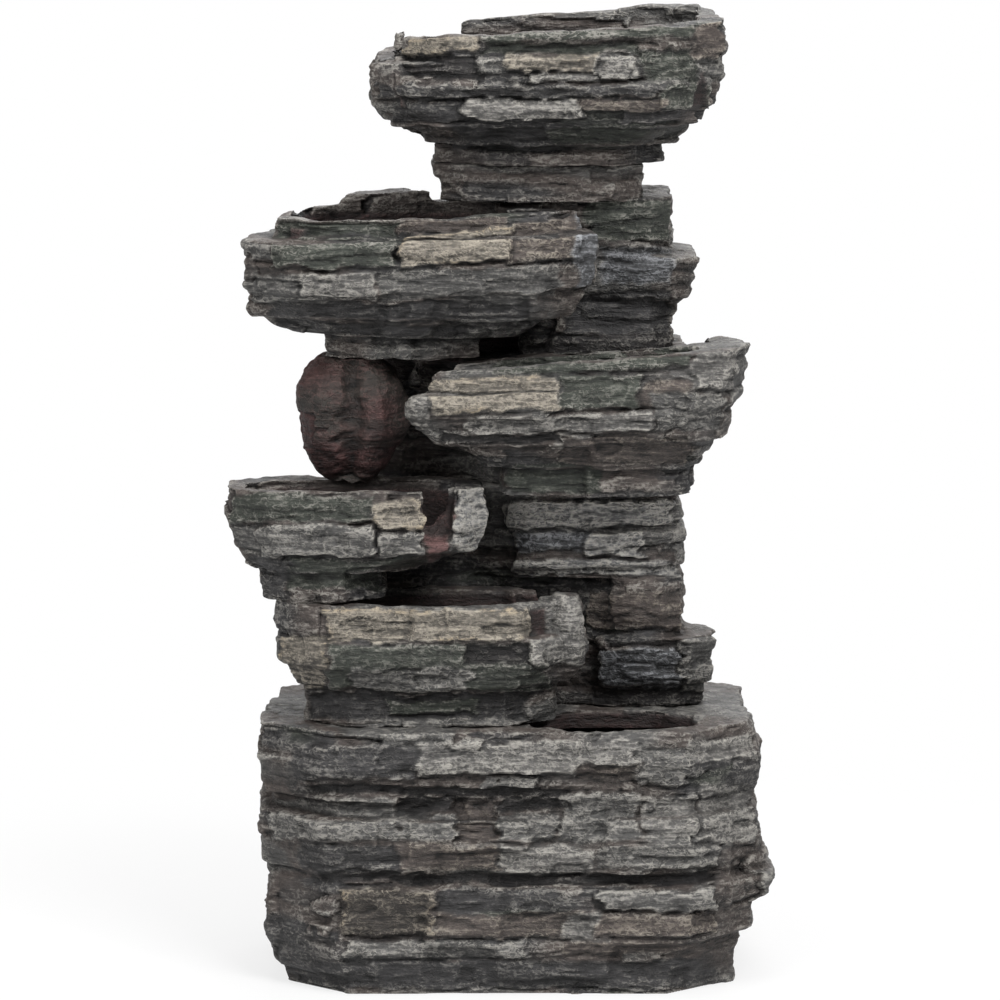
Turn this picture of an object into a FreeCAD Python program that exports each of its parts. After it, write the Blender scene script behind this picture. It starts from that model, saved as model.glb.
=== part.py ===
"""Rockery fountain: stacked slate castings on a hollow spine, fed by a pump in the base reservoir.

Millimetres, +Z up, the front faces -Y. The origin is the middle of the footprint, on the ground.
Every casting is a stack of slate beds. Each bed is an irregular plan outline with its own setbacks,
and the beds are joined by ledges into one closed solid, which is then hollowed, bored and notched.
"""
import FreeCAD
import Part
import math
import os
from collections import namedtuple

Vector = FreeCAD.Vector
UP = Vector(0, 0, 1)

# Overall reach
REACH_X = 286.0
BASE_DEPTH = 400.0
BASE_LEFT = -258.0
BASE_HEIGHT = 270.0

# Heights of the castings above their seats, and how the spine stands to the bowls at its left
LOWER_BOWL_HEIGHT = 128.0
MID_LEFT_BOWL_HEIGHT = 117.0
BOULDER_HEIGHT = 130.0
UPPER_LEFT_RIM_HEIGHT = 155.0
UPPER_LEFT_LEDGE = 12.0
NECK_HEIGHT = 37.0
TOP_RIM_HEIGHT = 153.0
TOP_LEDGE = 5.0
LOWER_COLUMN_DROP = 10.0
MID_RIGHT_RIM_RISE = 17.0
UPPER_COLUMN_RISE = 5.0

# Plan limits of the castings
SPINE_FRONT = -10.0
SPINE_BACK = 170.0
CASTING_GAP = 6.0
SEAM_GAP = 2.5
LOWER_COLUMN_LEFT = -170.0
LOWER_COLUMN_RIGHT = 229.0
LOWER_COLUMN_FRONT = -60.0
LOWER_COLUMN_FOOT_NOTCH = 100.0
LOWER_COLUMN_HEAD_NOTCH = 2.0
LOWER_COLUMN_FOOT_BEDS = 3
LOWER_COLUMN_SPUR = 38.0
LOWER_COLUMN_SPUR_DEPTH = 95.0
LOWER_BOWL_LEFT = -234.0
LOWER_BOWL_RIGHT = 94.0
LOWER_BOWL_FRONT = -172.0
MID_LEFT_BOWL_FRONT = -165.0
BOULDER_WIDTH = 130.0
BOULDER_DEPTH = 120.0
BOULDER_X = -153.0
BOULDER_Y = -52.0
BOULDER_SQUARENESS = 2.4
BOULDER_CAP = 0.05
BOULDER_TAPER = 0.14
BOULDER_GROOVE_SHARE = 0.2
BOULDER_GROOVE_TURN = 270.0
BOULDER_GROOVE_SPREAD = 16.0
LUMP_DENT_SHARE = 0.12
LUMP_FACET_SIDES = 3
LUMP_FACET_LEVELS = 3
MID_RIGHT_BOWL_BEAK = -108.0
MID_RIGHT_BOWL_LEFT = -50.0
MID_RIGHT_WALL_LEFT = -150.0
MID_RIGHT_WALL_FRONT = 16.0
MID_RIGHT_BOWL_RIGHT = 256.0
MID_RIGHT_BOWL_FRONT = -172.0
MID_RIGHT_BOWL_BACK = 160.0
UPPER_LEFT_BOWL_LEFT = -269.0
UPPER_LEFT_BOWL_RIGHT = 103.0
UPPER_LEFT_BOWL_FRONT = -172.0
UPPER_LEFT_BOWL_BACK = 120.0
UPPER_COLUMN_LEFT = 28.0
UPPER_COLUMN_RIGHT = 209.0
UPPER_COLUMN_FRONT = -62.0
UPPER_COLUMN_BACK = 150.0
NECK_LEFT = -72.0
NECK_RIGHT = 152.0
NECK_FRONT = -76.0
NECK_BACK = 125.0
TOP_BOWL_LEFT = -138.0
TOP_BOWL_RIGHT = 235.0
TOP_BOWL_FRONT = -152.0
TOP_BOWL_BACK = 150.0

# Shares of a bowl's width or depth that shape its outline
RIGHT_BEAK_DEPTH_SHARE = 0.1
RIGHT_BEAK_RUN_SHARE = 0.08
RIGHT_FRONT_CUT_SHARE = 0.1
RIGHT_END_START_SHARE = 0.14
RIGHT_END_STOP_SHARE = 0.36
RIGHT_REAR_CUT_SHARE = 0.14
RIGHT_REAR_RUN_SHARE = 0.05
RIGHT_SHOULDER_SHARE = 0.2
UPPER_LEFT_REAR_SHARE = 0.28
UPPER_LEFT_SIDE_SHARE = 0.55
TOP_FOOT_CUT_SHARE = 0.12
TOP_RIM_CUT_SHARE = 0.3
TOP_RIM_BED = 5
UPPER_LEFT_NOSE_WIDTH = 22.0
UPPER_LEFT_NOSE_DEPTH = 40.0

# Slate character
BED_UNIT_LENGTH = 1.0
LEDGE_RISE = 2.0
BED_LEAN_DEPTH = 3.0
BED_UNDERCUT_SHARE = 0.6
BED_SWING_HEIGHT = 4.0
BED_WAVE_LENGTH = 95.0
BASE_CORNER = 70.0
BOWL_CORNER = 52.0
COLUMN_CORNER = 30.0
POOL_CORNER = 40.0
CORNER_CUT_SHARE = 0.3
BLOCK_LENGTH = 96.0
BLOCK_DEPTH = 12.0
BLOCK_JOINT_WIDTH = 5.0
JOINT_WANDER = 0.5
POOL_BLOCK_DEPTH = 5.0
TOP_BOWL_DROP = 20.0
MID_RIGHT_DROP = 28.0
UPPER_LEFT_DROP = 14.0

# Walls and water spaces
BASE_WALL = 22.0
BASE_FLOOR = 16.0
DECK_THICKNESS = 20.0
POOL_RIM = 26.0
TOP_POOL_FLOOR_HEIGHT = 64.0
UPPER_LEFT_POOL_DEPTH = 80.0
MID_RIGHT_POOL_DEPTH = 52.0
MID_LEFT_POOL_DEPTH = 60.0
LOWER_POOL_DEPTH = 58.0
BASE_POOL_LEFT = 34.0
BASE_POOL_RIGHT = 200.0
BASE_POOL_BACK = -40.0
COLUMN_WALL = 24.0
COLUMN_BACK_WALL = 34.0
COLUMN_RIGHT_WALL = 60.0
COLUMN_ROOF = 26.0
CASTING_WALL = 24.0
ACCESS_MOUTH_MARGIN = 6.0
KNOB_WIDTH = 48.0
KNOB_DEPTH = 62.0
KNOB_HEIGHT = 80.0
KNOB_RISE = 7.0
SPILL_WIDTH = 42.0
SPILL_DEPTH = 16.0
TOP_SPILL_DEPTH = 60.0
TOP_SPILL_Y = -70.0
UPPER_LEFT_SPILL_Y = -98.0
MID_RIGHT_SPILL_Y = -118.0
LOWER_SPILL_Y = -62.0
CHUTE_LEFT = -76.0
CHUTE_WIDTH = 28.0
CHUTE_RECESS = 44.0
CHUTE_TOE = 8.0
CHUTE_LIP_DEPTH = 20.0
CHUTE_DROP = 82.0

# Hose and top outlet
HOSE_X = 110.0
HOSE_Y = 58.0
HOSE_BORE_R = 6.5
HOSE_WALL = 2.0
HOSE_PASSAGE_R = 24.0
HOSE_GRIP = 26.0
SLIP_CLEARANCE = 0.1
CLAMP_BAND = 1.2
CLAMP_WIDTH = 9.0
BARB_COUNT = 3
BARB_STEP = 0.95
SPOUT_THREAD_R = 10.0
SPOUT_FLANGE_R = 17.0
SPOUT_FLANGE_THICKNESS = 4.0
SPOUT_SEAL_THICKNESS = 2.0
SPOUT_NOZZLE_R = 8.6
SPOUT_NOZZLE_HEIGHT = 22.0
SPOUT_NOZZLE_TAPER = 1.0
SPOUT_NUT_ACROSS = 30.0
SPOUT_NUT_HEIGHT = 8.0
SPOUT_THREAD_TAIL = 4.0
SPOUT_BORE_R = 4.5
TOP_FLOOR_THICKNESS = 22.0
HOLE_CLEARANCE = 0.4

# Pump
PUMP_BODY_WIDTH = 60.0
PUMP_BODY_DEPTH = 48.0
PUMP_BODY_HEIGHT = 58.0
PUMP_EDGE_R = 6.0
PUMP_RIB_COUNT = 5
PUMP_RIB_WIDTH = 3.0
PUMP_RIB_DEPTH = 1.5
VOLUTE_DEPTH = 26.0
VOLUTE_R = 25.0
VOLUTE_WALL = 3.0
OUTLET_WALL = 2.5
OUTLET_HEIGHT = 14.0
OUTLET_COLLAR = 6.0
OUTLET_SOCKET_DEPTH = 11.0
ROTOR_R = 8.0
ROTOR_LENGTH = 32.0
ROTOR_CLEARANCE = 0.6
BLADE_COUNT = 6
BLADE_R = 15.0
BLADE_WIDTH = 9.0
BLADE_THICKNESS = 2.2
BACKPLATE_THICKNESS = 2.0
INTAKE_R = 9.0
SHAFT_R = 1.5
SHAFT_CLEARANCE = 0.05
BUSH_R = 4.5
BUSH_LENGTH = 5.0
COVER_DEPTH = 30.0
COVER_WALL = 2.5
COVER_SLOT_WIDTH = 3.0
COVER_SLOT_PITCH = 7.0
DIAL_R = 13.0
DIAL_THICKNESS = 4.0
DIAL_GRIP_HEIGHT = 6.0
DIAL_GRIP_WIDTH = 4.0
DIAL_GRIP_LENGTH = 21.0
DIAL_STEM_R = 3.0
DIAL_KEEPER_R = 5.4
RUNNING_GAP = 0.3
CUP_R = 9.0
CUP_HEIGHT = 10.0
CUP_LIP_R = 7.2
CUP_SHOULDER_R = 8.1
CUP_HOLLOW = 2.5
CUP_LIP_HEIGHT = 2.0
CUP_NECK_HEIGHT = 6.0
CUP_NECK_R = 4.0
CUP_STUD_R = 2.0
CUP_STUD_LENGTH = 5.0
CUP_INSET = 13.0
GLAND_R = 6.0
GLAND_LENGTH = 9.0
GLAND_RISE = 43.5
GLAND_BORE_R = 3.2
SEAL_SECTION = 2.0

# Rear access door and drain
DOOR_WIDTH = 150.0
DOOR_OFFSET = 30.0
DOOR_HEIGHT = 132.0
DOOR_SILL = 34.0
DOOR_THICKNESS = 16.0
DOOR_REBATE = 12.0
DOOR_FIT = 0.8
DOOR_CORNER_R = 14.0
DOOR_BED_COUNT = 4
DOOR_BED_INSET = 6.0
DOOR_BED_SPREAD = 14.0
DOOR_RELIEF = 7.0
DOOR_RELIEF_LEAST = 2.5
DOOR_PULL_WIDTH = 56.0
DOOR_PULL_HEIGHT = 20.0
DOOR_PULL_DEPTH = 9.0
DOOR_PULL_DROP = 12.0
CORD_NOTCH_WIDTH = 16.0
CORD_NOTCH_HEIGHT = 14.0
SCREW_R = 2.5
SCREW_HEAD_R = 5.0
SCREW_HEAD_HEIGHT = 3.2
SCREW_BITE = 14.0
SCREW_SLOT_WIDTH = 1.2
SCREW_SLOT_LENGTH = 7.0
DRAIN_X = -140.0
DRAIN_ABOVE_FLOOR = 18.0
DRAIN_R = 11.0
DRAIN_FLANGE_R = 17.0
DRAIN_FLANGE_THICKNESS = 5.0
DRAIN_RECESS = 20.0
DRAIN_SHANK_LENGTH = 20.0
DRAIN_TAB_WIDTH = 6.0
DRAIN_TAB_HEIGHT = 9.0

# Levels that follow from the heights
Z_DECK = BASE_HEIGHT
Z_LOWER_RIM = Z_DECK + LOWER_BOWL_HEIGHT
Z_MID_LEFT_RIM = Z_LOWER_RIM + MID_LEFT_BOWL_HEIGHT
Z_COLUMN_TOP = Z_MID_LEFT_RIM - LOWER_COLUMN_DROP
Z_BOULDER_TOP = Z_MID_LEFT_RIM + BOULDER_HEIGHT
Z_MID_RIGHT_SEAT = Z_BOULDER_TOP
Z_MID_RIGHT_RIM = Z_MID_RIGHT_SEAT + MID_RIGHT_RIM_RISE
Z_UPPER_LEFT_RIM = Z_BOULDER_TOP + UPPER_LEFT_RIM_HEIGHT
Z_UPPER_COLUMN_TOP = Z_UPPER_LEFT_RIM + UPPER_COLUMN_RISE
Z_NECK_TOP = Z_UPPER_COLUMN_TOP + NECK_HEIGHT
Z_TOP_RIM = Z_NECK_TOP + TOP_RIM_HEIGHT
Z_TOP = Z_TOP_RIM + TOP_LEDGE

# Hose, pump and door places that follow from the sizes
HOSE_R = HOSE_BORE_R + HOSE_WALL
BARB_R = HOSE_BORE_R - SLIP_CLEARANCE
PUMP_BOTTOM = BASE_FLOOR + CUP_HEIGHT
PUMP_AXIS_Z = PUMP_BOTTOM + PUMP_BODY_HEIGHT / 2
VOLUTE_FRONT = HOSE_Y - VOLUTE_DEPTH / 2
VOLUTE_BACK = HOSE_Y + VOLUTE_DEPTH / 2
PUMP_BODY_FRONT = VOLUTE_BACK + SEAL_SECTION
COVER_OPEN_END = VOLUTE_FRONT - RUNNING_GAP
COVER_FRONT = COVER_OPEN_END - COVER_DEPTH
COLLAR_R = VOLUTE_R - VOLUTE_WALL
OUTLET_R = BARB_R + SLIP_CLEARANCE + OUTLET_WALL
Z_OUTLET_TOP = PUMP_AXIS_Z + VOLUTE_R + OUTLET_HEIGHT
Z_HOSE_BOTTOM = Z_OUTLET_TOP + OUTLET_COLLAR
Z_TOP_POOL_FLOOR = Z_NECK_TOP + TOP_POOL_FLOOR_HEIGHT
Z_TOP_FLOOR_UNDERSIDE = Z_TOP_POOL_FLOOR - TOP_FLOOR_THICKNESS
Z_HOSE_TOP = Z_TOP_FLOOR_UNDERSIDE - SPOUT_NUT_HEIGHT - SPOUT_THREAD_TAIL
DOOR_SEAT_Y = SPINE_BACK - COLUMN_BACK_WALL + DOOR_REBATE
DOOR_FRONT = DOOR_SEAT_Y + RUNNING_GAP
Z_DOOR_BOTTOM = Z_DECK + DOOR_SILL
Z_DOOR_TOP = Z_DOOR_BOTTOM + DOOR_HEIGHT
DOOR_X = HOSE_X - DOOR_OFFSET
DRAIN_Z = BASE_FLOOR + DRAIN_ABOVE_FLOOR
DRAIN_SEAT_Y = BASE_DEPTH / 2 - DRAIN_RECESS

# One slate bed: share of the casting's height, then its setback from the casting's plan limits
Bed = namedtuple("Bed", "share left right front back")
Plan = namedtuple("Plan", "left right front back")


def scatter(*keys):
    """A repeatable number from 0 to 1 for a set of keys."""
    mixed = sum(key * factor for key, factor in zip(keys, (12.9898, 78.233, 37.719)))
    value = math.sin(mixed + 1.3) * 43758.5453
    return value - math.floor(value)


def block_outline(plan, number=0):
    """Four corners of a plan, anticlockwise from the front left."""
    return [(plan.left, plan.front), (plan.right, plan.front),
            (plan.right, plan.back), (plan.left, plan.back)]


def cut_corners(corners, cut):
    """Replaces each corner by two, set back along its edges."""
    result = []
    count = len(corners)
    for index, (x, y) in enumerate(corners):
        for other in (corners[index - 1], corners[(index + 1) % count]):
            length = math.hypot(other[0] - x, other[1] - y)
            reach = min(cut, CORNER_CUT_SHARE * length)
            result.append((x + (other[0] - x) * reach / length, y + (other[1] - y) * reach / length))
    return result


def block_counts(corners):
    """How many slate blocks lie along each edge of an outline."""
    count = len(corners)
    lengths = [math.dist(corners[i], corners[(i + 1) % count]) for i in range(count)]
    return [max(1, round(length / BLOCK_LENGTH)) for length in lengths]


def jointed(corners, counts, seed):
    """Points round an outline, and the block that each one belongs to. A joint has a point on either side."""
    points, blocks = [], []
    for edge, count in enumerate(counts):
        (x, y), end = corners[edge], corners[(edge + 1) % len(corners)]
        across, along = end[0] - x, end[1] - y
        points.append((x, y))
        blocks.append(len(blocks) and blocks[-1])
        for joint in range(1, count):
            middle = (joint + JOINT_WANDER * (scatter(seed, edge, joint) - 0.5)) / count
            half = BLOCK_JOINT_WIDTH / 2 / math.hypot(across, along)
            for t, step in ((middle - half, 0), (middle + half, 1)):
                points.append((x + across * t, y + along * t))
                blocks.append(blocks[-1] + step)
    last = max(blocks)
    return points, [block % last if last else block for block in blocks]


def broken(corners, counts, depth, seed):
    """An outline broken into blocks that stand back by different depths, fitted back into its own box."""
    points, blocks = jointed(corners, counts, seed)
    count = len(points)
    moved = []
    for index, (x, y) in enumerate(points):
        before, after = points[index - 1], points[(index + 1) % count]
        run = math.hypot(after[0] - before[0], after[1] - before[1])
        normal = ((after[1] - before[1]) / run, (before[0] - after[0]) / run)
        inward = depth * scatter(seed, blocks[index])
        moved.append((x - normal[0] * inward, y - normal[1] * inward))
    fitted = []
    for axis in (0, 1):
        low, high = min(p[axis] for p in points), max(p[axis] for p in points)
        moved_low, moved_high = min(p[axis] for p in moved), max(p[axis] for p in moved)
        scale = (high - low) / (moved_high - moved_low)
        fitted.append([low + (p[axis] - moved_low) * scale for p in moved])
    return list(zip(*fitted))


def triangle(a, b, c):
    """A flat face on three points."""
    return Part.Face(Part.makePolygon([a, b, c, a]))


def stacked_solid(rings):
    """A closed solid through rings of equal point counts, from the lowest to the highest."""
    faces = []
    count = len(rings[0])
    for lower, upper in zip(rings, rings[1:]):
        for index in range(count):
            after = (index + 1) % count
            faces.append(triangle(lower[index], lower[after], upper[after]))
            faces.append(triangle(lower[index], upper[after], upper[index]))
    for ring in (rings[0], rings[-1]):
        faces.append(Part.Face(Part.makePolygon(ring + ring[:1])))
    solid = Part.Solid(Part.Shell(faces))
    if solid.Volume < 0:
        solid.reverse()
    return solid


class Casting:
    """A slate casting: its plan limits, its height above a seat and its beds from the bottom up."""

    def __init__(self, plan, seat, height, beds, seed, corner, drop=0.0, outline=block_outline):
        self.plan = plan
        self.seat = seat
        self.height = height
        self.beds = beds
        self.seed = seed
        self.corner = corner
        self.drop = drop
        self.outline = outline

    def raised(self, x, y, z, swing):
        """A point of the level casting, swung with its bed and dropped to the left near the rim."""
        left_share = (self.plan.right - x) / (self.plan.right - self.plan.left)
        up_share = (z - self.seat) / self.height
        across = math.sin(x / BED_WAVE_LENGTH + self.seed + up_share)
        along = math.sin(y / BED_WAVE_LENGTH + 2.0 * self.seed)
        return Vector(x, y, z + swing * (across + along) / 2 - self.drop * left_share * up_share)

    def ring(self, points, inward, z, edge, swing):
        """One outline of the casting, drawn in towards its middle, at the edge z of a bed."""
        middle_x = sum(p[0] for p in points) / len(points)
        middle_y = sum(p[1] for p in points) / len(points)
        result = []
        for x, y in points:
            move = inward / math.hypot(x - middle_x, y - middle_y)
            place = self.raised(x + (middle_x - x) * move, y + (middle_y - y) * move, edge, swing)
            result.append(place + Vector(0, 0, z - edge))
        return result

    def blocks(self, bed, number, counts):
        """The outline of a bed, broken into blocks."""
        corners = cut_corners(self.outline(bed_plan(self.plan, bed), number), self.corner)
        return broken(corners, counts, BLOCK_DEPTH, self.seed + number)

    def solid(self):
        """The casting before it is hollowed."""
        counts = block_counts(cut_corners(self.outline(self.plan, 0), self.corner))
        total = sum(bed.share for bed in self.beds)
        rings = []
        z = self.seat
        for number, bed in enumerate(self.beds):
            first, last = number == 0, number == len(self.beds) - 1
            under = bed if first else undercut(bed, self.beds[number - 1])
            top = z + self.height * bed.share / total
            foot, foot_swing = (z, 0.0) if first else (z + LEDGE_RISE, BED_SWING_HEIGHT)
            rings.append(self.ring(self.blocks(under, number, counts), 0.0, foot, z, foot_swing))
            rings.append(self.ring(self.blocks(bed, number, counts), BED_LEAN_DEPTH, top, top,
                                   0.0 if last else BED_SWING_HEIGHT))
            z = top
        return stacked_solid(rings)


def undercut(bed, below):
    """A bed's setbacks at its foot, drawn part of the way in to those of the bed below."""
    setbacks = {}
    for side in Plan._fields:
        own = getattr(bed, side)
        setbacks[side] = own + BED_UNDERCUT_SHARE * max(0.0, getattr(below, side) - own)
    return bed._replace(**setbacks)


def bed_plan(plan, bed):
    """Plan limits of one bed of a casting."""
    return Plan(plan.left + bed.left * BED_UNIT_LENGTH, plan.right - bed.right * BED_UNIT_LENGTH,
                plan.front + bed.front * BED_UNIT_LENGTH, plan.back - bed.back * BED_UNIT_LENGTH)


def within(plan, beds, wall):
    """Plan limits of a space that leaves a wall inside the narrowest of the beds on every side."""
    plans = [bed_plan(plan, bed) for bed in beds]
    return Plan(max(p.left for p in plans) + wall, min(p.right for p in plans) - wall,
                max(p.front for p in plans) + wall, min(p.back for p in plans) - wall)


def hollow(limits, floor, top, seed):
    """A rough walled space between two levels."""
    corners = cut_corners(block_outline(limits), POOL_CORNER)
    points = broken(corners, block_counts(corners), POOL_BLOCK_DEPTH, seed)
    return stacked_solid([[Vector(x, y, z) for x, y in points] for z in (floor, top)])


def box(left, right, front, back, bottom, top):
    """A block between plain limits."""
    return Part.makeBox(right - left, back - front, top - bottom, Vector(left, front, bottom))


def post(x, y, bottom, top, radius):
    """An upright cylinder."""
    return Part.makeCylinder(radius, top - bottom, Vector(x, y, bottom), UP)


def hose_passage(bottom, top):
    """The round way for the hose through a casting."""
    return post(HOSE_X, HOSE_Y, bottom, top, HOSE_PASSAGE_R)


def barrel(front, back, radius, x=HOSE_X, z=PUMP_AXIS_Z):
    """A cylinder along Y, on the pump's own axis unless told otherwise."""
    return Part.makeCylinder(radius, back - front, Vector(x, front, z), Vector(0, 1, 0))


def turned(profile, x, y):
    """A solid turned about an upright axis from (radius, height) points."""
    points = [Vector(x + radius, y, z) for radius, z in profile]
    face = Part.Face(Part.makePolygon(points + points[:1]))
    return face.revolve(Vector(x, y, 0), UP, 360)


def groove_depth(turn, share):
    """Share of its reach that a boulder loses to the groove down its front, none at its foot and crown."""
    aside = (math.degrees(turn) - BOULDER_GROOVE_TURN) / BOULDER_GROOVE_SPREAD
    return BOULDER_GROOVE_SHARE * math.exp(-aside * aside) * math.sin(math.pi * share)


def lump(x, y, z, width, depth, height, seed, sides, levels, taper=0.0, grooved=False):
    """A faceted boulder in a box of that size, squarer than a ball, with its top and bottom cut flat."""
    rings = []
    for level in range(levels):
        share = level / (levels - 1)
        t = BOULDER_CAP + (1.0 - 2.0 * BOULDER_CAP) * share
        spread = (1.0 - abs(2.0 * t - 1.0) ** BOULDER_SQUARENESS) ** (1.0 / BOULDER_SQUARENESS)
        ring = []
        for side in range(sides):
            turn = 2.0 * math.pi * side / sides
            dent = LUMP_DENT_SHARE * scatter(seed, side // LUMP_FACET_SIDES, level // LUMP_FACET_LEVELS)
            reach = spread * (1.0 - dent)
            reach *= 1.0 - taper * (1.0 - share) ** 2
            if grooved:
                reach *= 1.0 - groove_depth(turn, share)
            ring.append(Vector(x + width / 2 * reach * math.cos(turn), y + depth / 2 * reach * math.sin(turn),
                               z + height * share))
        rings.append(ring)
    return stacked_solid(rings)


def spill(left, right, middle, floor):
    """A channel across a rim, open above, that lets the pool run over."""
    half = SPILL_WIDTH / 2
    return box(left, right, middle - half, middle + half, floor, floor + 4 * SPILL_DEPTH)


def pool_plan(plan, left, right, front, back):
    """Plan limits of a pool, drawn in from its bowl by that many rim widths on each side."""
    return Plan(plan.left + left * POOL_RIM, plan.right - right * POOL_RIM,
                plan.front + front * POOL_RIM, plan.back - back * POOL_RIM)


# Base


def base_basin():
    """The base rock: a tub with a deck, the lower pool's mouth, the way down to the pump and a drain."""
    plan = Plan(BASE_LEFT, REACH_X, -BASE_DEPTH / 2, BASE_DEPTH / 2)
    beds = [Bed(14, 30, 44, 8, 12), Bed(36, 15, 28, 2, 6), Bed(34, 14, 20, 2, 2), Bed(28, 12, 0, 0, 0),
            Bed(10, 16, 12, 12, 6), Bed(28, 10, 13, 2, 4), Bed(30, 2, 15, 4, 2), Bed(16, 16, 24, 20, 10),
            Bed(42, 0, 12, 8, 4), Bed(32, 8, 24, 14, 14)]
    rock = Casting(plan, 0.0, BASE_HEIGHT, beds, 11.0, BASE_CORNER).solid()
    inside = within(plan, beds[1:], BASE_WALL)
    reservoir = hollow(inside, BASE_FLOOR, BASE_HEIGHT - DECK_THICKNESS, 2.0)
    mouth = Plan(BASE_POOL_LEFT, BASE_POOL_RIGHT, inside.front, BASE_POOL_BACK)
    low, high = BASE_HEIGHT - 2 * DECK_THICKNESS, BASE_HEIGHT + DECK_THICKNESS
    pool = hollow(mouth, low, high, 5.0)
    way = box(*column_cavity_plan(ACCESS_MOUTH_MARGIN), low, high)
    drain = barrel(inside.back - BASE_WALL, BASE_DEPTH, DRAIN_R, DRAIN_X, DRAIN_Z)
    recess = barrel(DRAIN_SEAT_Y, BASE_DEPTH, DRAIN_FLANGE_R + CASTING_GAP, DRAIN_X, DRAIN_Z)
    return rock.cut([reservoir, pool, way, drain, recess])


def drain_plug():
    """Rubber bung with a flange and a pull tab, in the drain at the back of the base."""
    front = DRAIN_SEAT_Y + RUNNING_GAP
    back = front + DRAIN_FLANGE_THICKNESS
    shank = barrel(front - DRAIN_SHANK_LENGTH, front, DRAIN_R - RUNNING_GAP, DRAIN_X, DRAIN_Z)
    flange = barrel(front, back, DRAIN_FLANGE_R, DRAIN_X, DRAIN_Z)
    tab = box(DRAIN_X - DRAIN_FLANGE_R / 2, DRAIN_X + DRAIN_FLANGE_R / 2, back, back + DRAIN_TAB_HEIGHT,
              DRAIN_Z - DRAIN_TAB_WIDTH / 2, DRAIN_Z + DRAIN_TAB_WIDTH / 2)
    return shank.fuse([flange, tab]).removeSplitter()


# Lower tiers


def column_outline(plan, number):
    """Plan of the lower column: a back wall, with a front block to the right of a notch."""
    notch = LOWER_COLUMN_FOOT_NOTCH if number < LOWER_COLUMN_FOOT_BEDS else LOWER_COLUMN_HEAD_NOTCH
    rear_right = min(plan.right, LOWER_COLUMN_RIGHT - LOWER_COLUMN_SPUR)
    spur_back = LOWER_COLUMN_FRONT + LOWER_COLUMN_SPUR_DEPTH
    return [(plan.left, SPINE_FRONT), (notch, SPINE_FRONT), (notch, plan.front), (plan.right, plan.front),
            (plan.right, spur_back), (rear_right, spur_back + LOWER_COLUMN_SPUR),
            (rear_right, plan.back), (plan.left, plan.back)]


def column_cavity_plan(margin):
    """Plan limits of the hollow inside the lower column, drawn in by a margin."""
    return Plan(LOWER_COLUMN_LEFT + COLUMN_WALL + margin, LOWER_COLUMN_RIGHT - COLUMN_RIGHT_WALL - margin,
                SPINE_FRONT + COLUMN_WALL + margin, SPINE_BACK - COLUMN_BACK_WALL - margin)


def lower_column():
    """Hollow spine above the base, open below to the reservoir and closed at the back by the door.

    Its lowest bed stands back at the front, so the base pool runs in under it.
    """
    plan = Plan(LOWER_COLUMN_LEFT, LOWER_COLUMN_RIGHT, LOWER_COLUMN_FRONT, SPINE_BACK)
    beds = [Bed(22, 8, 14, 40, 0), Bed(54, 0, 0, 0, 2), Bed(62, 4, 36, 8, 0), Bed(10, 8, 42, 18, 2),
            Bed(40, 2, 36, 0, 0), Bed(8, 8, 44, 12, 2), Bed(40, 4, 38, 4, 0)]
    height = Z_COLUMN_TOP - Z_DECK
    rock = Casting(plan, Z_DECK, height, beds, 23.0, COLUMN_CORNER, outline=column_outline).solid()
    rock = rock.cut(box(*column_cavity_plan(0.0), Z_DECK - COLUMN_ROOF, Z_COLUMN_TOP - COLUMN_ROOF))
    rock = rock.cut(hose_passage(Z_DECK, Z_COLUMN_TOP + COLUMN_ROOF))
    inner_face = SPINE_BACK - 2 * COLUMN_BACK_WALL
    pocket = door_panel(DOOR_FIT, DOOR_SEAT_Y, SPINE_BACK + COLUMN_BACK_WALL)
    opening = door_panel(-DOOR_REBATE, inner_face, DOOR_SEAT_Y)
    cord_way = box(DOOR_X - CORD_NOTCH_WIDTH / 2, DOOR_X + CORD_NOTCH_WIDTH / 2, inner_face, DOOR_SEAT_Y,
                   Z_DOOR_BOTTOM, Z_DOOR_BOTTOM + 2 * DOOR_REBATE)
    pilot_end = DOOR_SEAT_Y - SCREW_BITE - RUNNING_GAP
    pilots = [barrel(pilot_end, SPINE_BACK, SCREW_R + RUNNING_GAP, x, z) for x, z in door_screw_places()]
    return rock.cut([pocket, opening, cord_way] + pilots)


def lower_bowl():
    """The lowest bowl, on the deck in front of the spine, with a knob of rock at its spill end."""
    plan = Plan(LOWER_BOWL_LEFT, LOWER_BOWL_RIGHT, LOWER_BOWL_FRONT, SPINE_FRONT - CASTING_GAP)
    beds = [Bed(42, 30, 36, 26, 0), Bed(24, 6, 6, 5, 0), Bed(28, 0, 2, 0, 0), Bed(34, 4, 26, 6, 0)]
    rock = Casting(plan, Z_DECK, LOWER_BOWL_HEIGHT, beds, 37.0, BOWL_CORNER).solid()
    knob_foot = Z_LOWER_RIM + KNOB_RISE - KNOB_HEIGHT
    knob = lump(plan.right - KNOB_WIDTH / 2, plan.front + POOL_RIM + KNOB_DEPTH / 2, knob_foot,
                KNOB_WIDTH, KNOB_DEPTH, KNOB_HEIGHT, 3.0, 12, 7)
    pool = pool_plan(plan, 3.0, 2.0, 1.0, 1.0)
    water = hollow(pool, Z_LOWER_RIM - LOWER_POOL_DEPTH, Z_LOWER_RIM + LOWER_POOL_DEPTH, 6.0)
    channel = spill(pool.right - POOL_RIM, plan.right + POOL_RIM, LOWER_SPILL_Y, Z_LOWER_RIM - SPILL_DEPTH)
    return rock.fuse(knob).cut([water, channel])


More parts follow.
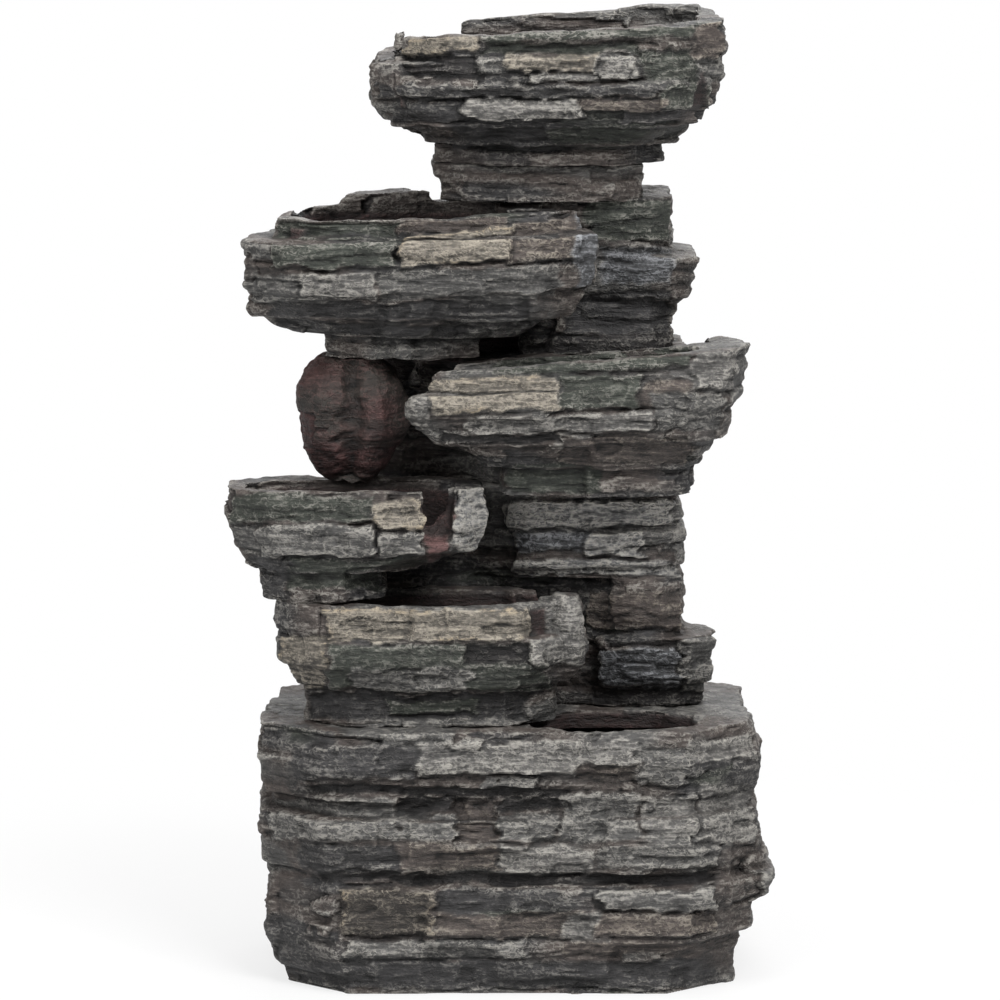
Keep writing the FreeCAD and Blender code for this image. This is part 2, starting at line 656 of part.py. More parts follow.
def chute_cut(front):
    """What the chute takes away: a slot in the rim whose back runs down and forward to its toe."""
    foot, top = Z_MID_LEFT_RIM - CHUTE_DROP, Z_MID_LEFT_RIM + CHUTE_DROP
    back, lip = front + CHUTE_RECESS, Z_MID_LEFT_RIM - CHUTE_LIP_DEPTH
    profile = [(front - CHUTE_RECESS, foot), (front + CHUTE_TOE, foot), (back, lip), (back, top),
               (front - CHUTE_RECESS, top)]
    points = [Vector(CHUTE_LEFT, y, z) for y, z in profile]
    return Part.Face(Part.makePolygon(points + points[:1])).extrude(Vector(CHUTE_WIDTH, 0, 0))


def mid_left_bowl():
    """The bowl at the far left, with a chute that drops its water into the lowest bowl."""
    plan = Plan(-REACH_X, -CASTING_GAP, MID_LEFT_BOWL_FRONT, SPINE_FRONT - CASTING_GAP)
    beds = [Bed(30, 36, 112, 18, 0), Bed(22, 18, 30, 6, 0), Bed(34, 4, 4, 0, 0), Bed(31, 0, 8, 8, 0)]
    rock = Casting(plan, Z_LOWER_RIM, MID_LEFT_BOWL_HEIGHT, beds, 41.0, BOWL_CORNER).solid()
    chute_right = CHUTE_LEFT + CHUTE_WIDTH
    pool = pool_plan(plan, 1.0, 0.0, 1.0, 1.6)._replace(right=chute_right)
    water = hollow(pool, Z_MID_LEFT_RIM - MID_LEFT_POOL_DEPTH, Z_MID_LEFT_RIM + MID_LEFT_POOL_DEPTH, 7.0)
    return rock.cut([water, chute_cut(plan.front)])


def boulder():
    """The red-brown boulder between two tiers, a fist of rock with a narrow foot and a grooved front."""
    size = (BOULDER_WIDTH, BOULDER_DEPTH, BOULDER_HEIGHT)
    return lump(BOULDER_X, BOULDER_Y, Z_MID_LEFT_RIM, *size, 9.0, 24, 9, BOULDER_TAPER, grooved=True)


# Upper tiers


def mid_right_outline(plan, number):
    """Plan of the right bowl: a beak at the front left, a tapered right end and a wall at the back left."""
    shoulder = max(plan.left, MID_RIGHT_BOWL_LEFT)
    width = plan.right - plan.left
    rear_right = plan.right - RIGHT_REAR_CUT_SHARE * width
    return [(plan.left, plan.front + RIGHT_BEAK_DEPTH_SHARE * width),
            (plan.left + RIGHT_BEAK_RUN_SHARE * width, plan.front),
            (plan.right - RIGHT_FRONT_CUT_SHARE * width, plan.front),
            (plan.right, plan.front + RIGHT_END_START_SHARE * width),
            (plan.right, plan.front + RIGHT_END_STOP_SHARE * width),
            (rear_right, MID_RIGHT_WALL_FRONT),
            (rear_right - RIGHT_REAR_RUN_SHARE * width, plan.back),
            (MID_RIGHT_WALL_LEFT, plan.back), (MID_RIGHT_WALL_LEFT, MID_RIGHT_WALL_FRONT),
            (shoulder, MID_RIGHT_WALL_FRONT), (shoulder, plan.front + RIGHT_SHOULDER_SHARE * width)]


def mid_right_bowl():
    """The wide bowl at the right, bedded on the spine, with a seat for the upper column."""
    plan = Plan(MID_RIGHT_BOWL_BEAK, MID_RIGHT_BOWL_RIGHT, MID_RIGHT_BOWL_FRONT, MID_RIGHT_BOWL_BACK)
    beds = [Bed(34, 100, 56, 50, 4), Bed(30, 62, 34, 22, 2), Bed(36, 4, 14, 6, 0), Bed(30, 0, 2, 0, 0),
            Bed(27, 24, 0, 12, 0)]
    height = Z_MID_RIGHT_RIM - Z_COLUMN_TOP
    casting = Casting(plan, Z_COLUMN_TOP, height, beds, 53.0, COLUMN_CORNER, MID_RIGHT_DROP,
                      mid_right_outline)
    pool = pool_plan(plan, 0.0, 2.0, 1.2, 0.0)
    pool = pool._replace(left=MID_RIGHT_BOWL_LEFT + POOL_RIM, back=UPPER_COLUMN_FRONT - POOL_RIM / 2)
    low_rim = Z_MID_RIGHT_RIM - MID_RIGHT_DROP
    clear_of_rim = Z_MID_RIGHT_RIM + MID_RIGHT_POOL_DEPTH
    water = hollow(pool, low_rim - MID_RIGHT_POOL_DEPTH, clear_of_rim, 8.0)
    channel = spill(plan.left - POOL_RIM, pool.left + POOL_RIM, MID_RIGHT_SPILL_Y, low_rim - SPILL_DEPTH)
    seat = box(UPPER_COLUMN_LEFT - CASTING_GAP, UPPER_COLUMN_RIGHT + CASTING_GAP,
               UPPER_COLUMN_FRONT - CASTING_GAP, plan.back + CASTING_GAP, Z_MID_RIGHT_SEAT, clear_of_rim)
    inside = within(plan, beds, CASTING_WALL)
    room = box(MID_RIGHT_WALL_LEFT + 2 * CASTING_WALL, inside.right - 2 * CASTING_WALL,
               MID_RIGHT_WALL_FRONT + CASTING_WALL, inside.back,
               Z_COLUMN_TOP - CASTING_WALL, Z_MID_RIGHT_SEAT - CASTING_WALL)
    return casting.solid().cut([water, channel, seat, room, hose_passage(Z_COLUMN_TOP, Z_MID_RIGHT_RIM)])


def upper_left_outline(plan, number):
    """Plan of the upper left bowl: full width in front, its back right corner let out for the column."""
    inner_x = min(UPPER_COLUMN_LEFT - SEAM_GAP, plan.right - UPPER_LEFT_NOSE_WIDTH)
    inner_y = max(UPPER_COLUMN_FRONT - CASTING_GAP, plan.front + UPPER_LEFT_NOSE_DEPTH)
    return [(plan.left, plan.front), (plan.right, plan.front), (plan.right, inner_y), (inner_x, inner_y),
            (inner_x, plan.back), (plan.left + UPPER_LEFT_REAR_SHARE * (inner_x - plan.left), plan.back),
            (plan.left, plan.front + UPPER_LEFT_SIDE_SHARE * (plan.back - plan.front))]


def upper_left_bowl():
    """The bowl at the upper left, on the boulder and against the upper column."""
    plan = Plan(UPPER_LEFT_BOWL_LEFT, UPPER_LEFT_BOWL_RIGHT, UPPER_LEFT_BOWL_FRONT, UPPER_LEFT_BOWL_BACK)
    beds = [Bed(22, 84, 120, 60, 50), Bed(22, 26, 50, 30, 30), Bed(30, 4, 10, 10, 12), Bed(28, 2, 4, 2, 6),
            Bed(30, 2, 0, 0, 0), Bed(23, 34, 20, 16, 4), Bed(12, 100, 165, 200, 12)]
    height = UPPER_LEFT_RIM_HEIGHT + UPPER_LEFT_LEDGE
    casting = Casting(plan, Z_BOULDER_TOP, height, beds, 61.0, BOWL_CORNER, UPPER_LEFT_DROP,
                      upper_left_outline)
    pool = pool_plan(plan, 2.2, 0.0, 1.6, 2.4)._replace(right=UPPER_COLUMN_LEFT - POOL_RIM)
    rim = Z_UPPER_LEFT_RIM
    water = hollow(pool, rim - UPPER_LEFT_POOL_DEPTH, rim + UPPER_LEFT_POOL_DEPTH, 9.0)
    channel = spill(pool.right - POOL_RIM, plan.right + POOL_RIM, UPPER_LEFT_SPILL_Y, rim - SPILL_DEPTH)
    return casting.solid().cut([water, channel])


def upper_column():
    """The upper part of the spine, hollow and bored for the hose."""
    plan = Plan(UPPER_COLUMN_LEFT, UPPER_COLUMN_RIGHT, UPPER_COLUMN_FRONT, UPPER_COLUMN_BACK)
    beds = [Bed(44, 0, 26, 10, 0), Bed(12, 4, 22, 14, 4), Bed(46, 0, 0, 2, 0), Bed(8, 4, 30, 8, 4),
            Bed(50, 0, 25, 0, 0)]
    height = Z_UPPER_COLUMN_TOP - Z_MID_RIGHT_SEAT
    rock = Casting(plan, Z_MID_RIGHT_SEAT, height, beds, 71.0, COLUMN_CORNER).solid()
    inside = within(plan, beds, CASTING_WALL)
    room = box(*inside, Z_MID_RIGHT_SEAT - CASTING_WALL, Z_UPPER_COLUMN_TOP - CASTING_WALL)
    return rock.cut([room, hose_passage(Z_MID_RIGHT_SEAT, Z_UPPER_COLUMN_TOP)])


def neck_slab():
    """The thin slab between the upper column and the top bowl."""
    plan = Plan(NECK_LEFT, NECK_RIGHT, NECK_FRONT, NECK_BACK)
    beds = [Bed(18, 12, 6, 0, 0), Bed(19, 0, 0, 10, 4)]
    rock = Casting(plan, Z_UPPER_COLUMN_TOP, NECK_HEIGHT, beds, 83.0, COLUMN_CORNER).solid()
    return rock.cut(hose_passage(Z_UPPER_COLUMN_TOP, Z_NECK_TOP))


def top_outline(plan, number):
    """Plan of the top bowl: full in front and at the right, cut away at the back left, most at the rim."""
    share = TOP_RIM_CUT_SHARE if number >= TOP_RIM_BED else TOP_FOOT_CUT_SHARE
    return [(plan.left, plan.front), (plan.right, plan.front), (plan.right, plan.back),
            (plan.left + share * (plan.right - plan.left), plan.back),
            (plan.left, plan.back - share * (plan.back - plan.front))]


def top_bowl():
    """The top bowl, where the water wells up, with a rim that stands highest in front and at the right."""
    plan = Plan(TOP_BOWL_LEFT, TOP_BOWL_RIGHT, TOP_BOWL_FRONT, TOP_BOWL_BACK)
    beds = [Bed(24, 70, 64, 70, 60), Bed(22, 32, 28, 26, 26), Bed(20, 6, 14, 10, 10), Bed(26, 0, 4, 4, 4),
            Bed(30, 4, 2, 0, 0), Bed(31, 30, 4, 6, 4), Bed(5, 236, 22, 150, 8)]
    height = TOP_RIM_HEIGHT + TOP_LEDGE
    rock = Casting(plan, Z_NECK_TOP, height, beds, 97.0, BOWL_CORNER, TOP_BOWL_DROP, top_outline).solid()
    pool = pool_plan(plan, 1.4, 1.2, 1.2, 1.4)
    water = hollow(pool, Z_TOP_POOL_FLOOR, Z_TOP + POOL_RIM, 12.0)
    channel = spill(plan.left - POOL_RIM, pool.left + POOL_RIM, TOP_SPILL_Y, Z_TOP_RIM - TOP_SPILL_DEPTH)
    outlet = post(HOSE_X, HOSE_Y, Z_NECK_TOP, Z_TOP, SPOUT_THREAD_R + HOLE_CLEARANCE)
    foot = within(plan, beds[:1], CASTING_WALL)
    over_neck = Plan(max(foot.left, NECK_LEFT + CASTING_WALL), min(foot.right, NECK_RIGHT - CASTING_WALL),
                     max(foot.front, NECK_FRONT + CASTING_WALL), min(foot.back, NECK_BACK - CASTING_WALL))
    room = hollow(over_neck, Z_NECK_TOP - CASTING_WALL, Z_TOP_FLOOR_UNDERSIDE, 14.0)
    return rock.cut([water, channel, outlet, room, hose_passage(Z_NECK_TOP, Z_TOP_FLOOR_UNDERSIDE)])


# Rear access door


def door_panel(grow, front, back):
    """An upright panel with rounded corners, larger than the door by grow on each side."""
    half = DOOR_WIDTH / 2 + grow
    panel = box(DOOR_X - half, DOOR_X + half, front, back, Z_DOOR_BOTTOM - grow, Z_DOOR_TOP + grow)
    corners = [edge for edge in panel.Edges if edge.BoundBox.YLength > 0.5 * (back - front)]
    return panel.makeFillet(max(DOOR_CORNER_R + grow, DOOR_FIT), corners)


def door_screw_places():
    """Centres of the two door screws, as (x, z), on the ledge that the door rests against."""
    reach = DOOR_WIDTH / 2 - DOOR_REBATE / 2
    middle = Z_DOOR_BOTTOM + DOOR_HEIGHT / 2
    return [(DOOR_X - reach, middle), (DOOR_X + reach, middle)]


def access_door():
    """Lift-off rear door with slate relief, a finger pull at the top and a cord notch at the bottom."""
    front, back = DOOR_FRONT, DOOR_FRONT + DOOR_THICKNESS
    clear_of_relief = back + 2 * DOOR_RELIEF
    door = door_panel(0.0, front, back)
    height = DOOR_HEIGHT / DOOR_BED_COUNT
    for number in range(DOOR_BED_COUNT):
        left = DOOR_X - DOOR_WIDTH / 2 + DOOR_BED_INSET + DOOR_BED_SPREAD * scatter(number, 3.0)
        right = DOOR_X + DOOR_WIDTH / 2 - DOOR_BED_INSET - DOOR_BED_SPREAD * scatter(number, 8.0)
        proud = DOOR_RELIEF_LEAST + (DOOR_RELIEF - DOOR_RELIEF_LEAST) * scatter(number, 5.0)
        low = Z_DOOR_BOTTOM + height * number + DOOR_RELIEF / 2
        door = door.fuse(box(left, right, back - DOOR_RELIEF, back + proud, low, low + height - DOOR_RELIEF))
    pull_top = Z_DOOR_TOP - DOOR_PULL_DROP
    pull = box(DOOR_X - DOOR_PULL_WIDTH / 2, DOOR_X + DOOR_PULL_WIDTH / 2, back - DOOR_PULL_DEPTH,
               clear_of_relief, pull_top - DOOR_PULL_HEIGHT, pull_top)
    notch = box(DOOR_X - CORD_NOTCH_WIDTH / 2, DOOR_X + CORD_NOTCH_WIDTH / 2, front, clear_of_relief,
                Z_DOOR_BOTTOM - CORD_NOTCH_HEIGHT, Z_DOOR_BOTTOM + CORD_NOTCH_HEIGHT)
    door = door.cut([pull, notch])
    seat = back - SCREW_HEAD_HEIGHT
    for x, z in door_screw_places():
        door = door.cut(barrel(front, back, SCREW_R + HOLE_CLEARANCE, x, z))
        door = door.cut(barrel(seat, clear_of_relief, SCREW_HEAD_R + HOLE_CLEARANCE, x, z))
    return door.removeSplitter()


def door_screws():
    """Two pan-head screws through the door, each with a cross slot."""
    seat = DOOR_FRONT + DOOR_THICKNESS - SCREW_HEAD_HEIGHT
    half, reach = SCREW_SLOT_WIDTH / 2, SCREW_SLOT_LENGTH / 2
    low, high = seat + SCREW_HEAD_HEIGHT / 2, seat + 2 * SCREW_HEAD_HEIGHT
    screws = []
    for x, z in door_screw_places():
        shank = barrel(DOOR_SEAT_Y - SCREW_BITE, seat, SCREW_R, x, z)
        head = barrel(seat, seat + SCREW_HEAD_HEIGHT, SCREW_HEAD_R, x, z)
        across = box(x - reach, x + reach, low, high, z - half, z + half)
        upright = box(x - half, x + half, low, high, z - reach, z + reach)
        screws.append(shank.fuse(head).cut([across, upright]))
    return Part.makeCompound(screws)


# Pump


def pump_body():
    """Potted motor block with a rotor well, cooling grooves and sockets for the suction cups."""
    back = PUMP_BODY_FRONT + PUMP_BODY_DEPTH
    half = PUMP_BODY_WIDTH / 2
    top = PUMP_BOTTOM + PUMP_BODY_HEIGHT
    block = box(HOSE_X - half, HOSE_X + half, PUMP_BODY_FRONT, back, PUMP_BOTTOM, top)
    long_edges = [edge for edge in block.Edges if edge.BoundBox.YLength > 0.5 * PUMP_BODY_DEPTH]
    block = block.makeFillet(PUMP_EDGE_R, long_edges)
    pitch = (PUMP_BODY_DEPTH - 2 * PUMP_EDGE_R) / (PUMP_RIB_COUNT - 1)
    for number in range(PUMP_RIB_COUNT):
        y = PUMP_BODY_FRONT + PUMP_EDGE_R + pitch * number
        for side in (-1, 1):
            outer = HOSE_X + side * half
            left, right = sorted((outer - side * PUMP_RIB_DEPTH, outer + side * PUMP_RIB_DEPTH))
            groove = box(left, right, y - PUMP_RIB_WIDTH / 2, y + PUMP_RIB_WIDTH / 2,
                         PUMP_BOTTOM + 2 * PUMP_EDGE_R, top - 2 * PUMP_EDGE_R)
            block = block.cut(groove)
    well_end = PUMP_BODY_FRONT + ROTOR_LENGTH + 2 * ROTOR_CLEARANCE
    block = block.cut(barrel(PUMP_BODY_FRONT, well_end, ROTOR_R + ROTOR_CLEARANCE))
    block = block.cut(barrel(well_end, well_end + BUSH_LENGTH, BUSH_R))
    sockets = [post(x, y, PUMP_BOTTOM, PUMP_BOTTOM + CUP_STUD_LENGTH, CUP_STUD_R + SLIP_CLEARANCE)
               for x, y in cup_places()]
    gland = barrel(back - GLAND_LENGTH / 2, back, GLAND_R, HOSE_X, PUMP_BOTTOM + GLAND_RISE)
    return block.cut(sockets + [gland])


def cup_places():
    """Centres of the four suction cups under the motor block."""
    reach = PUMP_BODY_WIDTH / 2 - CUP_INSET
    front, back = PUMP_BODY_FRONT + CUP_INSET, PUMP_BODY_FRONT + PUMP_BODY_DEPTH - CUP_INSET
    return [(HOSE_X + side * reach, y) for side in (-1, 1) for y in (front, back)]


def suction_cups():
    """Four rubber suction cups with studs in the motor block."""
    cups = []
    stud_top = PUMP_BOTTOM + CUP_STUD_LENGTH
    profile = [(0, BASE_FLOOR + CUP_HOLLOW), (CUP_LIP_R, BASE_FLOOR), (CUP_R, BASE_FLOOR),
               (CUP_SHOULDER_R, BASE_FLOOR + CUP_LIP_HEIGHT), (CUP_NECK_R, BASE_FLOOR + CUP_NECK_HEIGHT),
               (CUP_NECK_R, PUMP_BOTTOM), (CUP_STUD_R, PUMP_BOTTOM), (CUP_STUD_R, stud_top), (0, stud_top)]
    for x, y in cup_places():
        cups.append(turned(profile, x, y))
    return Part.makeCompound(cups)


def cable_gland():
    """Moulded gland at the back of the motor block, where the mains lead would leave."""
    back = PUMP_BODY_FRONT + PUMP_BODY_DEPTH
    z = PUMP_BOTTOM + GLAND_RISE
    sleeve = barrel(back - GLAND_LENGTH / 2, back + GLAND_LENGTH / 2, GLAND_R, HOSE_X, z)
    return sleeve.cut(barrel(back, back + GLAND_LENGTH, GLAND_BORE_R, HOSE_X, z))


def pump_volute():
    """Impeller chamber: a spider for the front bush, a collar for the strainer and the upright outlet."""
    collar_front = VOLUTE_FRONT - COVER_DEPTH / 2
    chamber_front = VOLUTE_FRONT + VOLUTE_WALL
    shell = barrel(VOLUTE_FRONT, VOLUTE_BACK, VOLUTE_R).fuse(barrel(collar_front, VOLUTE_FRONT, COLLAR_R))
    outlet = post(HOSE_X, HOSE_Y, PUMP_AXIS_Z, Z_OUTLET_TOP, OUTLET_R)
    shell = shell.fuse(outlet)
    shell = shell.cut(barrel(chamber_front, VOLUTE_BACK, COLLAR_R))
    shell = shell.cut(barrel(collar_front, VOLUTE_FRONT, COLLAR_R - VOLUTE_WALL))
    shell = shell.cut(post(HOSE_X, HOSE_Y, PUMP_AXIS_Z + BLADE_R, Z_OUTLET_TOP, BARB_R + SLIP_CLEARANCE))
    eye = barrel(VOLUTE_FRONT, chamber_front, INTAKE_R + BUSH_R)
    spokes = [box(HOSE_X - BLADE_THICKNESS / 2, HOSE_X + BLADE_THICKNESS / 2, VOLUTE_FRONT, chamber_front,
                  PUMP_AXIS_Z, PUMP_AXIS_Z + INTAKE_R + 2 * BUSH_R)]
    for turn in (120, 240):
        spokes.append(spokes[0].rotated(Vector(HOSE_X, 0, PUMP_AXIS_Z), Vector(0, 1, 0), turn))
    hub = barrel(VOLUTE_FRONT - BUSH_LENGTH + VOLUTE_WALL, chamber_front, BUSH_R + VOLUTE_WALL / 2)
    shell = shell.cut(eye.cut(spokes)).fuse(hub)
    return shell.cut(barrel(VOLUTE_FRONT - BUSH_LENGTH, chamber_front, BUSH_R)).removeSplitter()


def volute_seal():
    """Rubber ring between the impeller chamber and the motor block."""
    return barrel(VOLUTE_BACK, PUMP_BODY_FRONT, VOLUTE_R).cut(barrel(VOLUTE_BACK, PUMP_BODY_FRONT, COLLAR_R))


def shaft_ends():
    """Front and back of the fixed shaft, each inside a bush."""
    front = VOLUTE_FRONT + VOLUTE_WALL - BUSH_LENGTH
    back = PUMP_BODY_FRONT + ROTOR_LENGTH + 2 * ROTOR_CLEARANCE + BUSH_LENGTH
    return front, back


def impeller_shaft():
    """Ceramic shaft that the rotor turns on."""
    front, back = shaft_ends()
    return barrel(front, back, SHAFT_R)


def shaft_bushes():
    """Rubber bushes that hold the two ends of the shaft."""
    front, back = shaft_ends()
    bushes = []
    for low, high in ((front, front + BUSH_LENGTH), (back - BUSH_LENGTH, back)):
        bushes.append(barrel(low, high, BUSH_R).cut(barrel(low, high, SHAFT_R)))
    return Part.makeCompound(bushes)


def pump_impeller():
    """Magnet rotor, back plate and blades in one turning piece."""
    rotor_back = PUMP_BODY_FRONT + ROTOR_CLEARANCE + ROTOR_LENGTH
    plate_back = VOLUTE_BACK - ROTOR_CLEARANCE
    plate_front = plate_back - BACKPLATE_THICKNESS
    rotor = barrel(plate_back, rotor_back, ROTOR_R)
    plate = barrel(plate_front, plate_back, BLADE_R)
    hub = barrel(plate_front - BLADE_WIDTH, plate_front, 2 * SHAFT_R)
    half = BLADE_THICKNESS / 2
    blade = box(HOSE_X - half, HOSE_X + half, plate_front - BLADE_WIDTH, plate_front,
                PUMP_AXIS_Z + SHAFT_R + BLADE_THICKNESS, PUMP_AXIS_Z + BLADE_R - half)
    blades = [blade.rotated(Vector(HOSE_X, 0, PUMP_AXIS_Z), Vector(0, 1, 0), 360.0 * number / BLADE_COUNT)
              for number in range(BLADE_COUNT)]
    bore = barrel(plate_front - 2 * BLADE_WIDTH, rotor_back, SHAFT_R + SHAFT_CLEARANCE)
    return rotor.fuse([plate, hub] + blades).cut(bore).removeSplitter()


def intake_cover():
    """Slotted strainer cup that slips over the chamber's collar."""
    outer = COLLAR_R + RUNNING_GAP + COVER_WALL
    cup = barrel(COVER_FRONT, COVER_OPEN_END, outer)
    cup = cup.cut(barrel(COVER_FRONT + COVER_WALL, COVER_OPEN_END, COLLAR_R + RUNNING_GAP))
    slots = int(2 * math.pi * outer / COVER_SLOT_PITCH)
    length = COVER_DEPTH / 2 - 2 * COVER_WALL
    start = COVER_FRONT + 2 * COVER_WALL
    slot = box(HOSE_X - COVER_SLOT_WIDTH / 2, HOSE_X + COVER_SLOT_WIDTH / 2, start, start + length,
               PUMP_AXIS_Z + COLLAR_R - COVER_WALL, PUMP_AXIS_Z + outer + COVER_WALL)
    cutters = [slot.rotated(Vector(HOSE_X, 0, PUMP_AXIS_Z), Vector(0, 1, 0), 360.0 * number / slots)
               for number in range(slots)]
    cutters.append(barrel(COVER_FRONT, COVER_FRONT + COVER_WALL, DIAL_STEM_R + RUNNING_GAP))
    return cup.cut(cutters)


def flow_dial():
    """Flow control dial on the front of the strainer, with a grip bar and a retained stem."""
    back = COVER_FRONT - RUNNING_GAP
    front = back - DIAL_THICKNESS
    disc = barrel(front, back, DIAL_R)
    grip = box(HOSE_X - DIAL_GRIP_LENGTH / 2, HOSE_X + DIAL_GRIP_LENGTH / 2, front - DIAL_GRIP_HEIGHT, front,
               PUMP_AXIS_Z - DIAL_GRIP_WIDTH / 2, PUMP_AXIS_Z + DIAL_GRIP_WIDTH / 2)
    inner = COVER_FRONT + COVER_WALL + RUNNING_GAP
    stem = barrel(back, inner, DIAL_STEM_R)
    keeper = barrel(inner, inner + COVER_WALL, DIAL_KEEPER_R)
    return disc.fuse([grip, stem, keeper]).removeSplitter()


# Hose


def barbed_profile(bottom, top, up):
    """Outer (radius, height) points of a barbed hose tail, which narrows towards its free end."""
    pitch = (top - bottom) / BARB_COUNT
    points = []
    for number in range(BARB_COUNT):
        low = bottom + pitch * number
        wide, narrow = (low, low + pitch) if up else (low + pitch, low)
        pair = [(BARB_R, wide), (BARB_R - BARB_STEP, narrow)]
        points.extend(pair if up else pair[::-1])
    return points


def outlet_barb():
    """Adapter between the pump's outlet and the hose."""
    socket = Z_OUTLET_TOP - OUTLET_SOCKET_DEPTH
    profile = [(SPOUT_BORE_R, socket), (BARB_R, socket), (BARB_R, Z_OUTLET_TOP), (OUTLET_R, Z_OUTLET_TOP),
               (OUTLET_R, Z_HOSE_BOTTOM)]
    profile += barbed_profile(Z_HOSE_BOTTOM, Z_HOSE_BOTTOM + HOSE_GRIP, True)
    profile += [(SPOUT_BORE_R, Z_HOSE_BOTTOM + HOSE_GRIP)]
    return turned(profile, HOSE_X, HOSE_Y)


def supply_hose():
    """The riser hose, straight up the spine from the pump to the top bowl."""
    return post(HOSE_X, HOSE_Y, Z_HOSE_BOTTOM, Z_HOSE_TOP, HOSE_R).cut(
        post(HOSE_X, HOSE_Y, Z_HOSE_BOTTOM, Z_HOSE_TOP, HOSE_BORE_R))


def hose_clamps():
    """Two spring clamps with finger ears, one at each end of the hose."""
    inner = HOSE_R + SLIP_CLEARANCE
    outer = inner + CLAMP_BAND
    clamps = []
    for middle in (Z_HOSE_BOTTOM + HOSE_GRIP / 2, Z_HOSE_TOP - HOSE_GRIP / 2):
        low, high = middle - CLAMP_WIDTH / 2, middle + CLAMP_WIDTH / 2
        band = post(HOSE_X, HOSE_Y, low, high, outer)
        for side in (-1, 1):
            x = HOSE_X + side * CLAMP_WIDTH / 2
            ear_end = HOSE_Y + outer + CLAMP_WIDTH / 2
            band = band.fuse(box(x - CLAMP_BAND / 2, x + CLAMP_BAND / 2, HOSE_Y, ear_end, low, high))
        clamps.append(band.cut(post(HOSE_X, HOSE_Y, low, high, inner)))
    return Part.makeCompound(clamps)


def spout_fitting():
    """Bulkhead outlet in the floor of the top bowl: nozzle, flange, threaded body and hose tail."""
    flange = Z_TOP_POOL_FLOOR + SPOUT_SEAL_THICKNESS
    nozzle = flange + SPOUT_FLANGE_THICKNESS
    tip = nozzle + SPOUT_NOZZLE_HEIGHT
    profile = [(SPOUT_BORE_R, Z_HOSE_TOP - HOSE_GRIP)]
    profile += barbed_profile(Z_HOSE_TOP - HOSE_GRIP, Z_HOSE_TOP, False)
    profile += [(SPOUT_THREAD_R, Z_HOSE_TOP), (SPOUT_THREAD_R, flange), (SPOUT_FLANGE_R, flange),
                (SPOUT_FLANGE_R, nozzle), (SPOUT_NOZZLE_R, nozzle),
                (SPOUT_NOZZLE_R - SPOUT_NOZZLE_TAPER, tip), (SPOUT_BORE_R, tip)]
    return turned(profile, HOSE_X, HOSE_Y)


def spout_seal():
    """Rubber washer under the flange of the top outlet."""
    top = Z_TOP_POOL_FLOOR + SPOUT_SEAL_THICKNESS
    return post(HOSE_X, HOSE_Y, Z_TOP_POOL_FLOOR, top, SPOUT_FLANGE_R).cut(
        post(HOSE_X, HOSE_Y, Z_TOP_POOL_FLOOR, top, SPOUT_THREAD_R + HOLE_CLEARANCE))


def spout_nut():
    """Hexagon lock nut under the floor of the top bowl."""
    corner = SPOUT_NUT_ACROSS / math.sqrt(3.0)
    low = Z_TOP_FLOOR_UNDERSIDE - SPOUT_NUT_HEIGHT
    turns = [math.pi * side / 3 for side in range(6)]
    points = [Vector(HOSE_X + corner * math.cos(t), HOSE_Y + corner * math.sin(t), low) for t in turns]
    nut = Part.Face(Part.makePolygon(points + points[:1])).extrude(Vector(0, 0, SPOUT_NUT_HEIGHT))
    return nut.cut(post(HOSE_X, HOSE_Y, low, Z_TOP_FLOOR_UNDERSIDE, SPOUT_THREAD_R + SLIP_CLEARANCE))


PIECES = [base_basin, drain_plug, lower_column, lower_bowl, mid_left_bowl, boulder, mid_right_bowl,
          upper_left_bowl, upper_column, neck_slab, top_bowl, access_door, door_screws, pump_body,
          suction_cups, cable_gland,
          pump_volute, volute_seal, impeller_shaft, shaft_bushes, pump_impeller, intake_cover, flow_dial,
          outlet_barb, supply_hose, hose_clamps, spout_fitting, spout_seal, spout_nut]


def main():
    """Builds every piece and writes one file each."""
    os.makedirs("parts", exist_ok=True)
    for make in PIECES:
        shape = make()
        shape.exportStep(os.path.join("parts", make.__name__ + ".step"))
        print(make.__name__, "solids", len(shape.Solids), "valid", shape.isValid(), "faces", len(shape.Faces))


if __name__ == "__main__":
    main()
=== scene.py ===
"""Dresses the rockery fountain: carved slate castings, a rear door, a pump with its hose, and the studio.

Every piece is in metres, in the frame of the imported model. The castings start from their solids, are given an
even skin of small faces, and are then carved into beds and blocks and painted point by point.
"""
import itertools
import logging
import math
from dataclasses import dataclass, field
from enum import Enum
from typing import NamedTuple, Union

import bmesh
import bpy
import numpy as np
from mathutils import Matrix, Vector


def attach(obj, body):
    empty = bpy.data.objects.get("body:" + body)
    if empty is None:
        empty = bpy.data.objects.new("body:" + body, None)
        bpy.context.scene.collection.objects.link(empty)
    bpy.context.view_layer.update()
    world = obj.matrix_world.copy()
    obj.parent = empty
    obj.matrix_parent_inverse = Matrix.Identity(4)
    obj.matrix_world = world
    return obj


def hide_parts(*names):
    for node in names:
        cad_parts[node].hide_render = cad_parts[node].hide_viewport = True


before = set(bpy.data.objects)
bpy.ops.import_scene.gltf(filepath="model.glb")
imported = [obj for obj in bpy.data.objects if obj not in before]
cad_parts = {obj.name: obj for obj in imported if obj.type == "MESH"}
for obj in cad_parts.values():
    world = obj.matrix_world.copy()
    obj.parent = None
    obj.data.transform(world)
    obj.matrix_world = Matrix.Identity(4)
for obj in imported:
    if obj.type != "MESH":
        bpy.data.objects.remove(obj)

LOG = logging.getLogger("fountain")
MM = 0.001
MERGE_DISTANCE = 0.01 * MM
FLAT_ANGLE = math.radians(2.0)
SHARP_ANGLE = math.radians(42.0)
WORD = 0xFFFFFFFF
SEED_STEP = 668265263
SEED_START = 974711
CELL_STEP = 2654435761
MIX_STEPS = ((15, 2246822519), (13, 3266489917))
LAST_SHIFT = 16
SLAB_DRAW = 40
